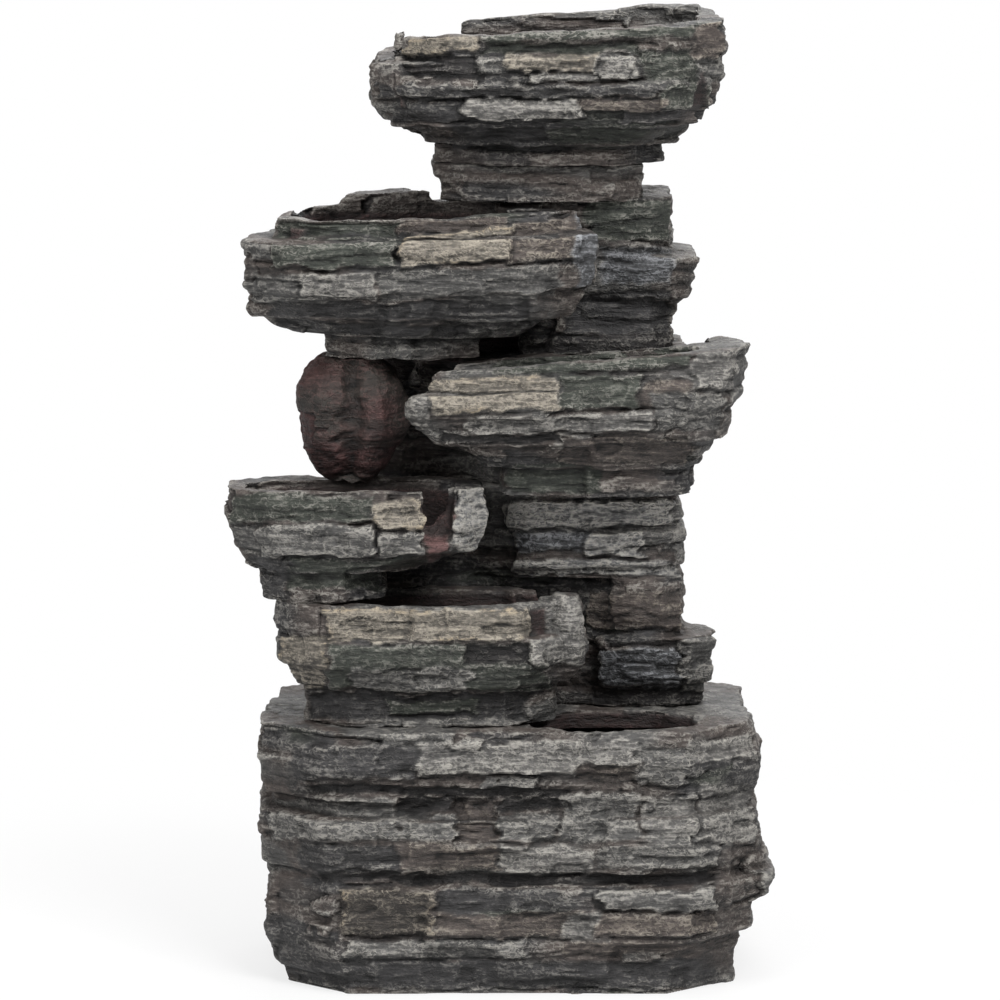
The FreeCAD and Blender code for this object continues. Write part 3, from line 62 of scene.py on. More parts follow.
LUMP_DRAW = 60
WANDER_DRAW = 80
LAYER_DRAW = 90
Number = Union[int, float]
Colour = tuple[float, float, float]


class Brush(Enum):
    """Dry-brush colours that are dragged over the ridges, as linear red, green and blue."""

    WHITE = (0.42, 0.40, 0.36)
    OCHRE = (0.42, 0.375, 0.305)
    GILT = (0.40, 0.26, 0.09)
    COOL = (0.41, 0.42, 0.44)
    ROSE = (0.20, 0.105, 0.10)


class Paint(NamedTuple):
    """A ground colour, its brush colour, how much of that it takes, and the brush colour of its edges."""

    ground: Colour
    brush: Brush
    dust: float
    rim: Brush = Brush.WHITE


class Tint(Enum):
    """Paints of the rock. The near-black one is painted shade, laid in grooves and recesses."""

    GREEN = Paint((0.045, 0.051, 0.040), Brush.WHITE, 0.07)
    CHARCOAL = Paint((0.043, 0.041, 0.042), Brush.WHITE, 0.05)
    GREY = Paint((0.098, 0.095, 0.091), Brush.WHITE, 0.17)
    BROWN = Paint((0.086, 0.069, 0.061), Brush.OCHRE, 0.08)
    OCHRE = Paint((0.165, 0.147, 0.122), Brush.OCHRE, 0.26, Brush.GILT)
    UMBER = Paint((0.046, 0.038, 0.032), Brush.OCHRE, 0.08, Brush.GILT)
    PALE = Paint((0.135, 0.129, 0.122), Brush.WHITE, 0.25)
    SNOWY = Paint((0.180, 0.179, 0.178), Brush.WHITE, 0.36)
    BLUISH = Paint((0.086, 0.088, 0.093), Brush.COOL, 0.18)
    # Painted shade: near-black for sunken grooves and recesses, where shade falls.
    PAINTED_SHADE = Paint((0.020, 0.017, 0.017), Brush.WHITE, 0.04)
    RED = Paint((0.062, 0.025, 0.023), Brush.ROSE, 0.12)
    RUST = Paint((0.160, 0.085, 0.080), Brush.ROSE, 0.2)


@dataclass(frozen=True)
class Lattice:
    """Repeatable chance on a lattice of whole-number cells."""

    seed: int

    def draw(self, *cells: np.ndarray) -> np.ndarray:
        """Draws one number from 0 to 1 for each set of cells.

        Args:
            cells: whole-number arrays of one length.

        Returns:
            The numbers, in an array of that length.
        """
        mixed = np.full(cells[0].shape, (self.seed * SEED_STEP + SEED_START) & WORD, dtype=np.uint32)
        for cell in cells:
            mixed ^= cell.astype(np.int64).astype(np.uint32) * np.uint32(CELL_STEP)
            for shift, factor in MIX_STEPS:
                mixed ^= mixed >> np.uint32(shift)
                mixed *= np.uint32(factor)
            mixed ^= mixed >> np.uint32(LAST_SHIFT)
        return mixed / float(WORD)

    def noise(self, places: np.ndarray) -> np.ndarray:
        """Reads smooth noise.

        Args:
            places: points in lattice steps, one per row.

        Returns:
            Values from -1 to 1.
        """
        low = np.floor(places)
        share = places - low
        ease = share * share * (3.0 - 2.0 * share)
        total = np.zeros(len(places))
        cells = low.T
        shares = [(1.0 - column, column) for column in ease.T]
        for corner in itertools.product((0, 1), repeat=3):
            weight = shares[0][corner[0]] * shares[1][corner[1]] * shares[2][corner[2]]
            total += weight * self.draw(*(cell + step for cell, step in zip(cells, corner)))
        return 2.0 * total - 1.0

    def grain(self, points: np.ndarray, sizes: Union[Number, Colour], shift: Number = 0.0) -> np.ndarray:
        """Reads smooth noise whose lumps have a size of their own.

        Args:
            points: places in metres, one per row.
            sizes: the lumps' size in millimetres, in all directions or along each axis.
            shift: how far to move along the noise, so that two readings differ.

        Returns:
            Values from -1 to 1.
        """
        return self.noise(points / (np.array(sizes) * MM) + shift)


def ramp(values: np.ndarray, low: float, high: float) -> np.ndarray:
    """Gives a smooth step from 0 at low to 1 at high."""
    share = np.clip((values - low) / (high - low), 0.0, 1.0)
    return share * share * (3.0 - 2.0 * share)


def unit(vectors: np.ndarray) -> np.ndarray:
    """Scales each row to a length of 1."""
    return vectors / np.maximum(np.linalg.norm(vectors, axis=1, keepdims=True), 1e-9)


@dataclass(frozen=True)
class Bedding:
    """Slate beds of about one thickness, each broken into blocks of about one length, in metres.

    The sway and the unevenness of the beds are in bed thicknesses, and the sway's reach is in block lengths.
    """

    thickness: float
    length: float
    relief: float
    groove: float
    seed: int
    sway: float = 0.9
    sway_reach: float = 1.6
    uneven: float = 0.28
    uneven_rate: float = 2.3
    seam_share: float = 0.16
    joint_share: float = 0.5
    joint_width: float = 1.6 * MM

    def read(self, points: np.ndarray) -> tuple[np.ndarray, np.ndarray, np.ndarray]:
        """Finds the block that each point belongs to.

        Args:
            points: places on the rock, one per row.

        Returns:
            A number from 0 to 1 for each point's block, and the distances in metres to the nearest upright
            joint and to the nearest seam between beds.
        """
        chance = Lattice(self.seed)
        swayed = self.sway * chance.noise(points / (self.sway_reach * self.length))
        level = points[:, 2] / self.thickness + swayed
        level += self.uneven * np.sin(self.uneven_rate * level + self.seed)
        bed = np.floor(level)
        turned = points[:, :2] / self.length + np.stack([chance.draw(bed), chance.draw(bed + 500)], axis=1)
        cell = np.floor(turned)
        nearest = np.full(len(points), 9.0)
        second = nearest.copy()
        owner = np.zeros(len(points))
        for step in itertools.product((-1, 0, 1), repeat=2):
            around = cell + step
            across = around[:, 0] + chance.draw(around[:, 0], around[:, 1], bed)
            along = around[:, 1] + chance.draw(around[:, 1], around[:, 0], bed + 900)
            away = np.hypot(turned[:, 0] - across, turned[:, 1] - along)
            closer = away < nearest
            second = np.where(closer, nearest, np.minimum(second, away))
            owner = np.where(closer, chance.draw(around[:, 0], around[:, 1], bed + 300), owner)
            nearest = np.minimum(nearest, away)
        joint = 0.5 * (second - nearest) * self.length
        seam = np.minimum(level - bed, bed + 1.0 - level) * self.thickness
        return owner, joint, seam

    def height(self, points: np.ndarray) -> tuple[np.ndarray, np.ndarray]:
        """Works out the relief of these beds.

        Args:
            points: places on the rock, one per row.

        Returns:
            How far the rock stands out in metres, and a number from 0 to 1 for each point's block.
        """
        owner, joint, seam = self.read(points)
        cut = self.groove * (1.0 - ramp(seam, 0.0, self.seam_share * self.thickness))
        cut = np.maximum(cut, self.joint_share * self.groove * (1.0 - ramp(joint, 0.0, self.joint_width)))
        return self.relief * (2.0 * owner - 1.0) - cut, owner


@dataclass(frozen=True)
class Zone:
    """A box on the fountain, in millimetres."""

    left: float
    right: float
    front: float
    back: float
    bottom: float
    top: float

    def depth(self, points: np.ndarray) -> np.ndarray:
        """Measures how deep points lie inside the box.

        Args:
            points: places in metres, one per row.

        Returns:
            The distance to the nearest side in metres, below zero outside.
        """
        low = np.array((self.left, self.front, self.bottom)) * MM
        high = np.array((self.right, self.back, self.top)) * MM
        return np.minimum(points - low, high - points).min(axis=1)


@dataclass(frozen=True)
class Slab:
    """One slab on the front, placed by the pixels that it covers in the photograph.

    The slope is how many pixels its right end lies lower than its left end, and proud is in millimetres.
    """

    left: float
    right: float
    top: float
    bottom: float
    proud: float
    tint: Tint
    slope: float = 0.0

    def gap(self, across: np.ndarray, down: np.ndarray) -> tuple[np.ndarray, np.ndarray]:
        """Measures where pixels lie in the slab.

        Args:
            across: pixels across the photograph.
            down: pixels down the photograph.

        Returns:
            How far each pixel lies inside the slab, below zero outside, and how far below its foot it lies
            where it is under the slab, and a large number elsewhere.
        """
        share = (across - self.left) / (self.right - self.left) - 0.5
        level = down - self.slope * np.clip(share, -0.6, 0.6)
        sides = np.minimum(across - self.left, self.right - across)
        inside = np.minimum(sides, np.minimum(level - self.top, self.bottom - level))
        return inside, np.where(sides > 0.0, level - self.bottom, 99.0)


@dataclass(frozen=True)
class SlabCut:
    """How slabs are cut: their wander, edges and lips in pixels, and a lip's depth in millimetres."""

    wander_across: float = 7.0
    wander_down: float = 3.4
    torn: float = 2.6
    edge_start: float = -1.2
    edge_end: float = 2.4
    lip_drop: float = 2.2
    lip_width: float = 1.8
    lip_depth: float = 1.6
    rim_width: float = 2.4
    rim_dust: float = 0.24


@dataclass(frozen=True)
class PhotoView:
    """The photograph's viewpoint."""

    place: Colour = (0.0, -6.2, 1.33)
    target: Colour = (0.0, 0.0, 0.486)
    lens: float = 215.5
    sensor: float = 36.0
    pixels_across: int = 1000

    def axes(self) -> tuple[np.ndarray, np.ndarray, np.ndarray]:
        """Gives the view's right, up and forward directions."""
        forward = np.array(self.target) - np.array(self.place)
        forward = forward / np.linalg.norm(forward)
        right = np.cross(forward, (0.0, 0.0, 1.0))
        right = right / np.linalg.norm(right)
        return right, np.cross(right, forward), forward

    def pixels(self, points: np.ndarray) -> tuple[np.ndarray, np.ndarray]:
        """Projects points into the photograph.

        Args:
            points: places in metres, one per row.

        Returns:
            Pixels across and pixels down.
        """
        right, up, forward = self.axes()
        away = points - np.array(self.place)
        scale = self.lens / self.sensor * self.pixels_across / (away @ forward)
        middle = self.pixels_across / 2
        return middle + scale * (away @ right), middle - scale * (away @ up)

    def camera(self) -> bpy.types.Object:
        """Makes the camera and sets it as the scene's own."""
        data = bpy.data.cameras.new("photo_camera")
        data.lens = self.lens
        data.sensor_width = self.sensor
        data.sensor_fit = "HORIZONTAL"
        data.clip_end = 200.0
        camera = bpy.data.objects.new("photo_camera", data)
        camera.location = self.place
        look = Vector(self.target) - Vector(self.place)
        camera.rotation_euler = look.to_track_quat("-Z", "Y").to_euler()
        bpy.context.scene.collection.objects.link(camera)
        bpy.context.scene.camera = camera
        return camera


class Skin:
    """Points, normals and neighbours of a mesh, as arrays."""

    def __init__(self, mesh: bpy.types.Mesh) -> None:
        """Reads the mesh.

        Args:
            mesh: the mesh to carve, which is changed only by write.
        """
        self.mesh = mesh
        self.count = len(mesh.vertices)
        self.points = self.vectors(mesh.vertices, "co")
        edges = np.empty(2 * len(mesh.edges), dtype=np.int64)
        mesh.edges.foreach_get("vertices", edges)
        self.edges = edges.reshape(-1, 2)
        self.valence = np.bincount(edges, minlength=self.count)

    def vectors(self, items: bpy.types.bpy_prop_collection, key: str) -> np.ndarray:
        """Reads one vector from each item of a mesh."""
        flat = np.empty(3 * len(items))
        items.foreach_get(key, flat)
        return flat.reshape(-1, 3)

    def normals(self) -> np.ndarray:
        """Reads the normals of the mesh as it was last written."""
        return self.vectors(self.mesh.vertex_normals, "vector")

    def spread(self, values: np.ndarray, rounds: int) -> np.ndarray:
        """Averages values with their neighbours, again and again.

        Args:
            values: one row per point.
            rounds: how often to average.

        Returns:
            The smoothed values.
        """
        first, second = self.edges.T
        for _ in range(rounds):
            total = values.copy()
            for axis in range(values.shape[1]):
                column = values[:, axis]
                total[:, axis] += np.bincount(first, weights=column[second], minlength=self.count)
                total[:, axis] += np.bincount(second, weights=column[first], minlength=self.count)
            values = total / (self.valence + 1.0)[:, None]
        return values

    def write(self, points: np.ndarray) -> None:
        """Moves the points of the mesh."""
        self.points = points
        self.mesh.vertices.foreach_set("co", points.ravel())
        self.mesh.update()

    def paint(self, name: str, colour: np.ndarray, alpha: np.ndarray) -> None:
        """Stores a colour and a strength for each point.

        Args:
            name: the attribute's name.
            colour: linear red, green and blue, one row per point.
            alpha: one strength per point.
        """
        layer = self.mesh.color_attributes.new(name, "FLOAT_COLOR", "POINT")
        layer.data.foreach_set("color", np.column_stack([colour, alpha]).astype(np.float32).ravel())


def fine_skin(node: str, voxel: float) -> bpy.types.Mesh:
    """Gives a copy of a solid an even skin of small faces.

    Args:
        node: the solid's node.
        voxel: the size of a face in metres.

    Returns:
        The new mesh.
    """
    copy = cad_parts[node].data.copy()
    copy.materials.clear()
    work = bmesh.new()
    work.from_mesh(copy)
    bmesh.ops.remove_doubles(work, verts=work.verts, dist=MERGE_DISTANCE)
    work.to_mesh(copy)
    work.free()
    holder = bpy.data.objects.new(node + "_copy", copy)
    bpy.context.scene.collection.objects.link(holder)
    skin = holder.modifiers.new("skin", "REMESH")
    skin.mode = "VOXEL"
    skin.voxel_size = voxel
    depsgraph = bpy.context.evaluated_depsgraph_get()
    mesh = bpy.data.meshes.new_from_object(holder.evaluated_get(depsgraph))
    bpy.data.objects.remove(holder)
    bpy.data.meshes.remove(copy)
    mesh.name = node + "_rock"
    return mesh


@dataclass(frozen=True)
class Wear:
    """How strongly ridges take the dry brush and upward faces get paler, and the painted shade: dark in hollows
    and on undersides, light on ridges and upward faces.

    The reaches are the heights of a full ridge: ridge_reach in faces, and swell_reach in millimetres.
    """

    ridge_reach: float = 0.35
    swell_reach: float = 3.5
    level: float = 0.45
    ridge_dust: float = 0.13
    upward_dust: float = 0.12
    # Painted shade: a base level, lighter on ridges and upward faces, darker in hollows and on undersides.
    tone: float = 0.56
    ridge_shading: float = 0.32
    upward_shading: float = 0.6
    bare_dust: float = 0.12
    block_dust: float = 0.14
    wet_cover: float = 0.85
    wet_shade: float = 0.35


@dataclass
class RockCasting:
    """One slate casting, carved from its solid. Its lengths are in millimetres."""

    node: str
    seed: int
    voxel: float = 2.5
    body: str = "fountain"
    slot: str = "slate"
    bias: float = -1.0
    relief_share: float = 1.0
    lumps: float = 1.3
    softening: int = 5
    layer_height: float = 1.0
    leaf_height: float = 0.7
    chip_depth: float = 2.4
    palette: tuple[Tint, ...] = (Tint.GREEN, Tint.CHARCOAL, Tint.BROWN, Tint.GREY)
    slabs: tuple[Slab, ...] = ()
    slab_back: float = -40.0
    still: tuple[Zone, ...] = ()
    seams: tuple[Zone, ...] = ()
    seam_swell: float = 13.0
    seam_ease: float = 8.0
    mounds: tuple[Zone, ...] = ()
    mound_rise: float = 20.0
    mound_ease: float = 14.0
    ground_fade: tuple[float, float] = (0.5, 5.0)
    wet: tuple[Zone, ...] = ()
    hidden: tuple[Zone, ...] = ()
    flat: tuple[Zone, ...] = ()
    view: PhotoView = field(default_factory=PhotoView)
    wear: Wear = Wear()
    cut: SlabCut = SlabCut()

    def beddings(self) -> tuple[Bedding, ...]:
        """Lists the casting's beds from the thickest to the thinnest."""
        share = self.relief_share
        return (Bedding(40 * MM, 140 * MM, 4.2 * MM * share, 2.0 * MM * share, self.seed),
                Bedding(17 * MM, 80 * MM, 1.2 * MM * share, 0.5 * MM * share, self.seed + 1))

    def ragged(self, points: np.ndarray) -> np.ndarray:
        """Gives the places with a small wander, so that beds and blocks break along uneven lines."""
        chance = Lattice(self.seed + WANDER_DRAW)
        steps = []
        for axis, reach in enumerate((9.0, 9.0, 2.6)):
            coarse = chance.grain(points, (34.0, 34.0, 13.0), 7.0 * axis)
            fine = chance.grain(points, (13.0, 13.0, 6.5), 50.0 + 7.0 * axis)
            steps.append((coarse + 0.5 * fine) * reach * MM)
        return points + np.stack(steps, axis=1)

    def laminae(self, points: np.ndarray) -> np.ndarray:
        """Works out the thin layers and chips of the slate.

        Args:
            points: places on the rock, one per row.

        Returns:
            How far the rock stands out in metres.
        """
        chance = Lattice(self.seed + LAYER_DRAW)
        layers = 1.0 - 2.0 * np.abs(chance.grain(points, (64.0, 64.0, 10.0)))
        leaves = 1.0 - 2.0 * np.abs(chance.grain(points, (30.0, 30.0, 5.5), 20.0))
        chips = ramp(chance.grain(points, (36.0, 36.0, 13.0), 40.0), 0.16, 0.26)
        height = self.layer_height * layers + self.leaf_height * leaves - self.chip_depth * chips
        return height * MM * self.relief_share

    def exposure(self, points: np.ndarray) -> np.ndarray:
        """Finds how freely each point may move: 0 in the still and hidden zones, 1 well away from them."""
        free = np.ones(len(points))
        for zone in self.still + self.hidden:
            free = np.minimum(free, ramp(-zone.depth(points), 1.0 * MM, 9.0 * MM))
        return free

    def wetness(self, points: np.ndarray) -> np.ndarray:
        """Finds how deep each point lies in a pool, from 0 to 1."""
        damp = np.zeros(len(points))
        for zone in self.wet:
            damp = np.maximum(damp, ramp(zone.depth(points), -3.0 * MM, 3.0 * MM))
        return damp

    def front_slabs(self, points: np.ndarray, facing: np.ndarray) -> tuple[np.ndarray, ...]:
        """Works out the slabs that are listed for the front.

        Args:
            points: places on the rock, one per row.
            facing: how much each point faces the photograph's viewpoint, from 0 to 1.

        Returns:
            Their height in metres, the share of each point that they cover, their paint, their brush colour
            and the strength of their dusting.
        """
        across, down = self.view.pixels(points)
        chance = Lattice(self.seed + SLAB_DRAW)
        cut = self.cut
        across = across + cut.wander_across * chance.grain(points, (50.0, 50.0, 8.0))
        down = down + cut.wander_down * chance.grain(points, 30.0, 31.0)
        torn = cut.torn * chance.grain(points, (9.0, 9.0, 6.0), 62.0)
        gilt = ramp(chance.grain(points, 28.0, 11.0), -0.25, 0.3)
        near = facing * (points[:, 1] < self.slab_back * MM)
        height = np.zeros(len(points))
        cover = np.zeros(len(points))
        paint = np.zeros((len(points), 3))
        brush = np.tile(np.array(self.palette[0].value.brush.value), (len(points), 1))
        dust = np.zeros(len(points))
        for slab in self.slabs:
            gap, below = slab.gap(across, down)
            gap = gap + torn
            inside = ramp(gap, cut.edge_start, cut.edge_end) * near
            lip = np.exp(-((below - cut.lip_drop) / cut.lip_width) ** 2) * near
            height += (inside * slab.proud - cut.lip_depth * lip) * MM
            edge = inside * np.exp(-np.maximum(gap, 0.0) / cut.rim_width)
            coat = slab.tint.value
            paint += inside[:, None] * (np.array(coat.ground) - paint)
            gilding = (edge * gilt)[:, None]
            stroke = np.array(coat.brush.value) + gilding * np.subtract(coat.rim.value, coat.brush.value)
            brush += inside[:, None] * (stroke - brush)
            dust += inside * (coat.dust + cut.rim_dust * edge - dust)
            cover = np.maximum(cover, inside)
        return height, cover, paint, brush, dust

    def bare_paint(self, points: np.ndarray, tones: list[np.ndarray]) -> np.ndarray:
        """Blends the palette's ground colours over the bare rock.

        Args:
            points: places on the rock, one per row.
            tones: a number from 0 to 1 for each point's block, in the thick beds and in the thin ones.

        Returns:
            Linear red, green and blue, one row per point.
        """
        palette = np.array([tint.value.ground for tint in self.palette])
        drift = 0.5 + 0.8 * Lattice(self.seed + LUMP_DRAW).grain(points, (110.0, 110.0, 45.0), 90.0)
        pick = 0.6 * drift + 0.25 * tones[0] + 0.15 * tones[1]
        pick = np.clip(pick * len(palette), 0, len(palette) - 1e-6)
        low = np.floor(pick).astype(int)
        high = np.minimum(low + 1, len(palette) - 1)
        share = ramp(pick - low, 0.2, 0.8)[:, None]
        return palette[low] * (1.0 - share) + palette[high] * share

    def carve(self, skin: Skin) -> tuple[np.ndarray, ...]:
        """Moves the skin's points into beds, blocks and slabs.

        Args:
            skin: the casting's even skin.

        Returns:
            The paint, brush colour and dusting of each point.
        """
        rest = skin.points
        free = self.exposure(rest)
        rest = rest + free[:, None] * (skin.spread(rest, self.softening) - rest)
        normals = skin.spread(skin.normals(), 4)
        outward = unit(skin.spread(normals, 16) * np.array((1.0, 1.0, 0.5)))
        wall = ramp(np.hypot(normals[:, 0], normals[:, 1]), 0.15, 0.6)
        damp = self.wetness(rest)
        facing = ramp(-normals[:, 1], 0.1, 0.55) * (1.0 - damp)
        slab_height, cover, slab_paint, brush, dust = self.front_slabs(rest, facing)
        height = self.laminae(rest) + self.bias * MM
        tones = []
        wandering = self.ragged(rest)
        for bedding, kept in zip(self.beddings(), (0.25, 0.6)):
            relief, owner = bedding.height(wandering)
            height += relief * (1.0 - (1.0 - kept) * cover)
            tones.append(owner)
        for zone in self.seams:
            height += self.seam_swell * MM * ramp(zone.depth(wandering), 0.0, self.seam_ease * MM)
        height = (height + slab_height) * wall * free * (1.0 - 0.7 * damp)
        chance = Lattice(self.seed + LUMP_DRAW)
        lumps = chance.grain(rest, 26.0) + 0.5 * chance.grain(rest, 9.0, 17.0)
        fade_low, fade_high = self.ground_fade
        above = ramp(rest[:, 2], fade_low * MM, fade_high * MM)
        rise = self.lumps * lumps * MM * free * (1.7 - 0.7 * wall) * above
        for zone in self.mounds:
            rise += self.mound_rise * MM * ramp(zone.depth(wandering), 0.0, self.mound_ease * MM)
        moved = rest + outward * height[:, None] + normals * rise[:, None]
        moved[:, 2] = np.maximum(moved[:, 2], 0.0)
        skin.write(moved)
        wear = self.wear
        paint = self.bare_paint(rest, tones)
        paint = paint + cover[:, None] * (slab_paint - paint)
        wet_paint = np.array(Tint.RED.value.ground) * wear.wet_shade
        paint = paint + (damp * wear.wet_cover)[:, None] * (wet_paint - paint)
        brush = brush + damp[:, None] * (np.array(Brush.ROSE.value) - brush)
        dust = cover * dust + (1.0 - cover) * (wear.bare_dust + wear.block_dust * (tones[1] - 0.5))
        dust = dust * (1.0 - 0.8 * damp)
        return paint, brush, dust

    def dress(self, skin: Skin, paint: np.ndarray, brush: np.ndarray, dust: np.ndarray) -> None:
        """Paints the carved skin: painted shade that is dark in hollows and on undersides and light on ridges
        and upward faces, and dry-brush dust on ridges.

        Args:
            skin: the carved skin.
            paint: the ground colour of each point.
            brush: the dry-brush colour of each point.
            dust: the strength of the dusting of each point.
        """
        normals = skin.normals()
        near = skin.spread(skin.points, 2)
        far = skin.spread(near, 16)
        ridge = np.einsum("ij,ij->i", skin.points - near, normals)
        swell = np.einsum("ij,ij->i", skin.points - far, normals)
        wear = self.wear
        lit = np.clip(ridge / (wear.ridge_reach * self.voxel * MM), -1.0, 1.0)
        lit = lit + np.clip(swell / (wear.swell_reach * MM), -1.0, 1.0)
        upward = ramp(normals[:, 2], -0.6, 0.7) - wear.level
        strength = np.clip(dust + wear.ridge_dust * lit + wear.upward_dust * upward, 0.0, 1.0)
        # Painted shade, stored as the alpha of the paint attribute: dark in hollows and on undersides, light on
        # ridges and upward faces.
        painted_shading = np.clip(wear.tone + wear.ridge_shading * lit + wear.upward_shading * upward, 0.0, 1.0)
        skin.paint("paint", paint, painted_shading)
        skin.paint("brush", brush, strength)

    def lighten(self, mesh: bpy.types.Mesh) -> None:
        """Joins the small flat faces in the hidden rooms and underneath into large ones."""
        work = bmesh.new()
        work.from_mesh(mesh)
        points = np.array([vert.co[:] for vert in work.verts])
        inside = np.zeros(len(points), dtype=bool)
        for zone in self.hidden + self.flat:
            inside |= zone.depth(points) > 0.0
        verts = [vert for vert, hide in zip(work.verts, inside) if hide]
        edges = [edge for edge in work.edges if inside[edge.verts[0].index] and inside[edge.verts[1].index]]
        bmesh.ops.dissolve_limit(work, angle_limit=FLAT_ANGLE, verts=verts, edges=edges)
        bmesh.ops.triangulate(work, faces=[face for face in work.faces if len(face.verts) > 4])
        work.to_mesh(mesh)
        work.free()

    def build(self, material: bpy.types.Material) -> bpy.types.Object:
        """Makes the casting's piece in place of its solid.

        Args:
            material: the rock finish.

        Returns:
            The new piece.
        """
        mesh = fine_skin(self.node, self.voxel * MM)
        skin = Skin(mesh)
        paint, brush, dust = self.carve(skin)
        self.dress(skin, paint, brush, dust)
        if self.hidden:
            self.lighten(mesh)
        mesh.shade_smooth()
        mesh.set_sharp_from_angle(angle=SHARP_ANGLE)
        mesh.materials.append(material)
        piece = bpy.data.objects.new(self.node + "_rock", mesh)
        bpy.context.scene.collection.objects.link(piece)
        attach(piece, self.body)
        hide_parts(self.node)
        LOG.info("%s: %d faces", piece.name, len(mesh.polygons))
        return piece


class Socket:
    """An output of a shader, with Python's own operators."""

    def __init__(self, shader: "Shader", output: bpy.types.NodeSocket) -> None:
        """Wraps an output of a node."""
        self.shader = shader
        self.output = output

    def maths(self, operation: str, *others: Union["Socket", Number]) -> "Socket":
        """Adds one Math node on this value and the others."""
        return self.shader.node("ShaderNodeMath", {"operation": operation}, self, *others)

    def __add__(self, other: Union["Socket", Number]) -> "Socket":
        """Adds."""
        return self.maths("ADD", other)

    def __sub__(self, other: Union["Socket", Number]) -> "Socket":
        """Subtracts."""
        return self.maths("SUBTRACT", other)

    def __mul__(self, other: Union["Socket", Number]) -> "Socket":
        """Multiplies."""
        return self.maths("MULTIPLY", other)

    def __rsub__(self, other: Number) -> "Socket":
        """Subtracts from a number."""
        return self.shader.node("ShaderNodeMath", {"operation": "SUBTRACT"}, other, self)

    __radd__ = __add__
    __rmul__ = __mul__

    def clamped(self) -> "Socket":
        """Keeps the value from 0 to 1."""
        return self.shader.node("ShaderNodeClamp", {}, self)

    def step(self, low: Number, high: Number) -> "Socket":
        """Gives a smooth step from 0 at low to 1 at high."""
        settings = {"interpolation_type": "SMOOTHSTEP"}
        return self.shader.node("ShaderNodeMapRange", settings, self, low, high, 0.0, 1.0)


class Shader:
    """The node tree of one material."""

    def __init__(self, name: str) -> None:
        """Makes an empty material with one surface shader."""
        self.material = bpy.data.materials.new(name)
        self.material.use_nodes = True
        self.tree = self.material.node_tree
        self.tree.nodes.clear()
        self.surface = self.tree.nodes.new("ShaderNodeBsdfPrincipled")
        self.output = self.tree.nodes.new("ShaderNodeOutputMaterial")
        self.tree.links.new(self.surface.outputs["BSDF"], self.output.inputs["Surface"])

    def plug(self, socket: bpy.types.NodeSocket, value: object) -> None:
        """Links a socket to an output, or sets its value. None leaves it alone."""
        if isinstance(value, Socket):
            self.tree.links.new(value.output, socket)
        elif value is not None:
            socket.default_value = value

    def node(self, kind: str, settings: dict, *values: object, result: Union[int, str] = 0,
             **named: object) -> Socket:
        """Adds a node.

        Args:
            kind: the node's type.
            settings: its own settings, which are set first.
            values: values or links of its first sockets, in order. None leaves a socket alone.
            result: the output to give back.
            named: values or links of sockets by name, with _ for a space.

        Returns:
            The chosen output.
        """
        node = self.tree.nodes.new(kind)
        for key, value in settings.items():
            setattr(node, key, value)
        sockets = list(zip(node.inputs, values))
        sockets += [(node.inputs[key.replace("_", " ")], value) for key, value in named.items()]
        for socket, value in sockets:
            self.plug(socket, value)
        return Socket(self, node.outputs[result])

    def set(self, **values: object) -> None:
        """Sets or links sockets of the surface by name, with _ for a space."""
        for key, value in values.items():
            self.plug(self.surface.inputs[key.replace("_", " ")], value)

    def place(self, stretch: Colour = (1.0, 1.0, 1.0)) -> Socket:
        """Gives the object's own coordinates, stretched along each axis."""
        return self.vector("MULTIPLY", self.node("ShaderNodeTexCoord", {}, result="Object"), stretch)

    def vector(self, operation: str, first: Socket, second: Union[Socket, Colour]) -> Socket:
        """Adds one Vector Math node."""
        return self.node("ShaderNodeVectorMath", {"operation": operation}, first, second)

    def attribute(self, name: str, result: str) -> Socket:
        """Reads what the piece stores for each point: Color for its colour, Alpha for its strength."""
        settings = {"attribute_type": "GEOMETRY", "attribute_name": name}
        return self.node("ShaderNodeAttribute", settings, result=result)

    def noise(self, place: Socket, scale: Number, detail: Number = 3.0, roughness: Number = 0.5,
              distortion: Number = 0.0) -> Socket:
        """Adds a noise texture and gives its value from 0 to 1."""
        return self.node("ShaderNodeTexNoise", {}, Vector=place, Scale=scale, Detail=detail,
                         Roughness=roughness, Distortion=distortion)

    def mix(self, factor: Union[Socket, Number], first: object, second: object, blend: str = "MIX") -> Socket:
        """Mixes two colours.

        Args:
            factor: how much of the second colour shows, from 0 to 1.
            first: a colour, or a link to one.
            second: a colour, or a link to one.
            blend: the kind of mix.

        Returns:
            The mixed colour.
        """
        node = self.tree.nodes.new("ShaderNodeMix")
        node.data_type = "RGBA"
        node.blend_type = blend
        colours = [socket for socket in node.inputs if socket.type == "RGBA"]
        for socket, value in zip([node.inputs[0]] + colours, (factor, first, second)):
            self.plug(socket, value)
        return Socket(self, [socket for socket in node.outputs if socket.type == "RGBA"][0])

    def bump(self, height: Socket, strength: Number, distance: Number) -> Socket:
        """Adds a bump and gives its normal."""
        return self.node("ShaderNodeBump", {}, Height=height, Strength=strength, Distance=distance)


def rgba(colour: Colour) -> tuple[float, float, float, float]:
    """Adds full strength to a colour."""
    return (*colour, 1.0)


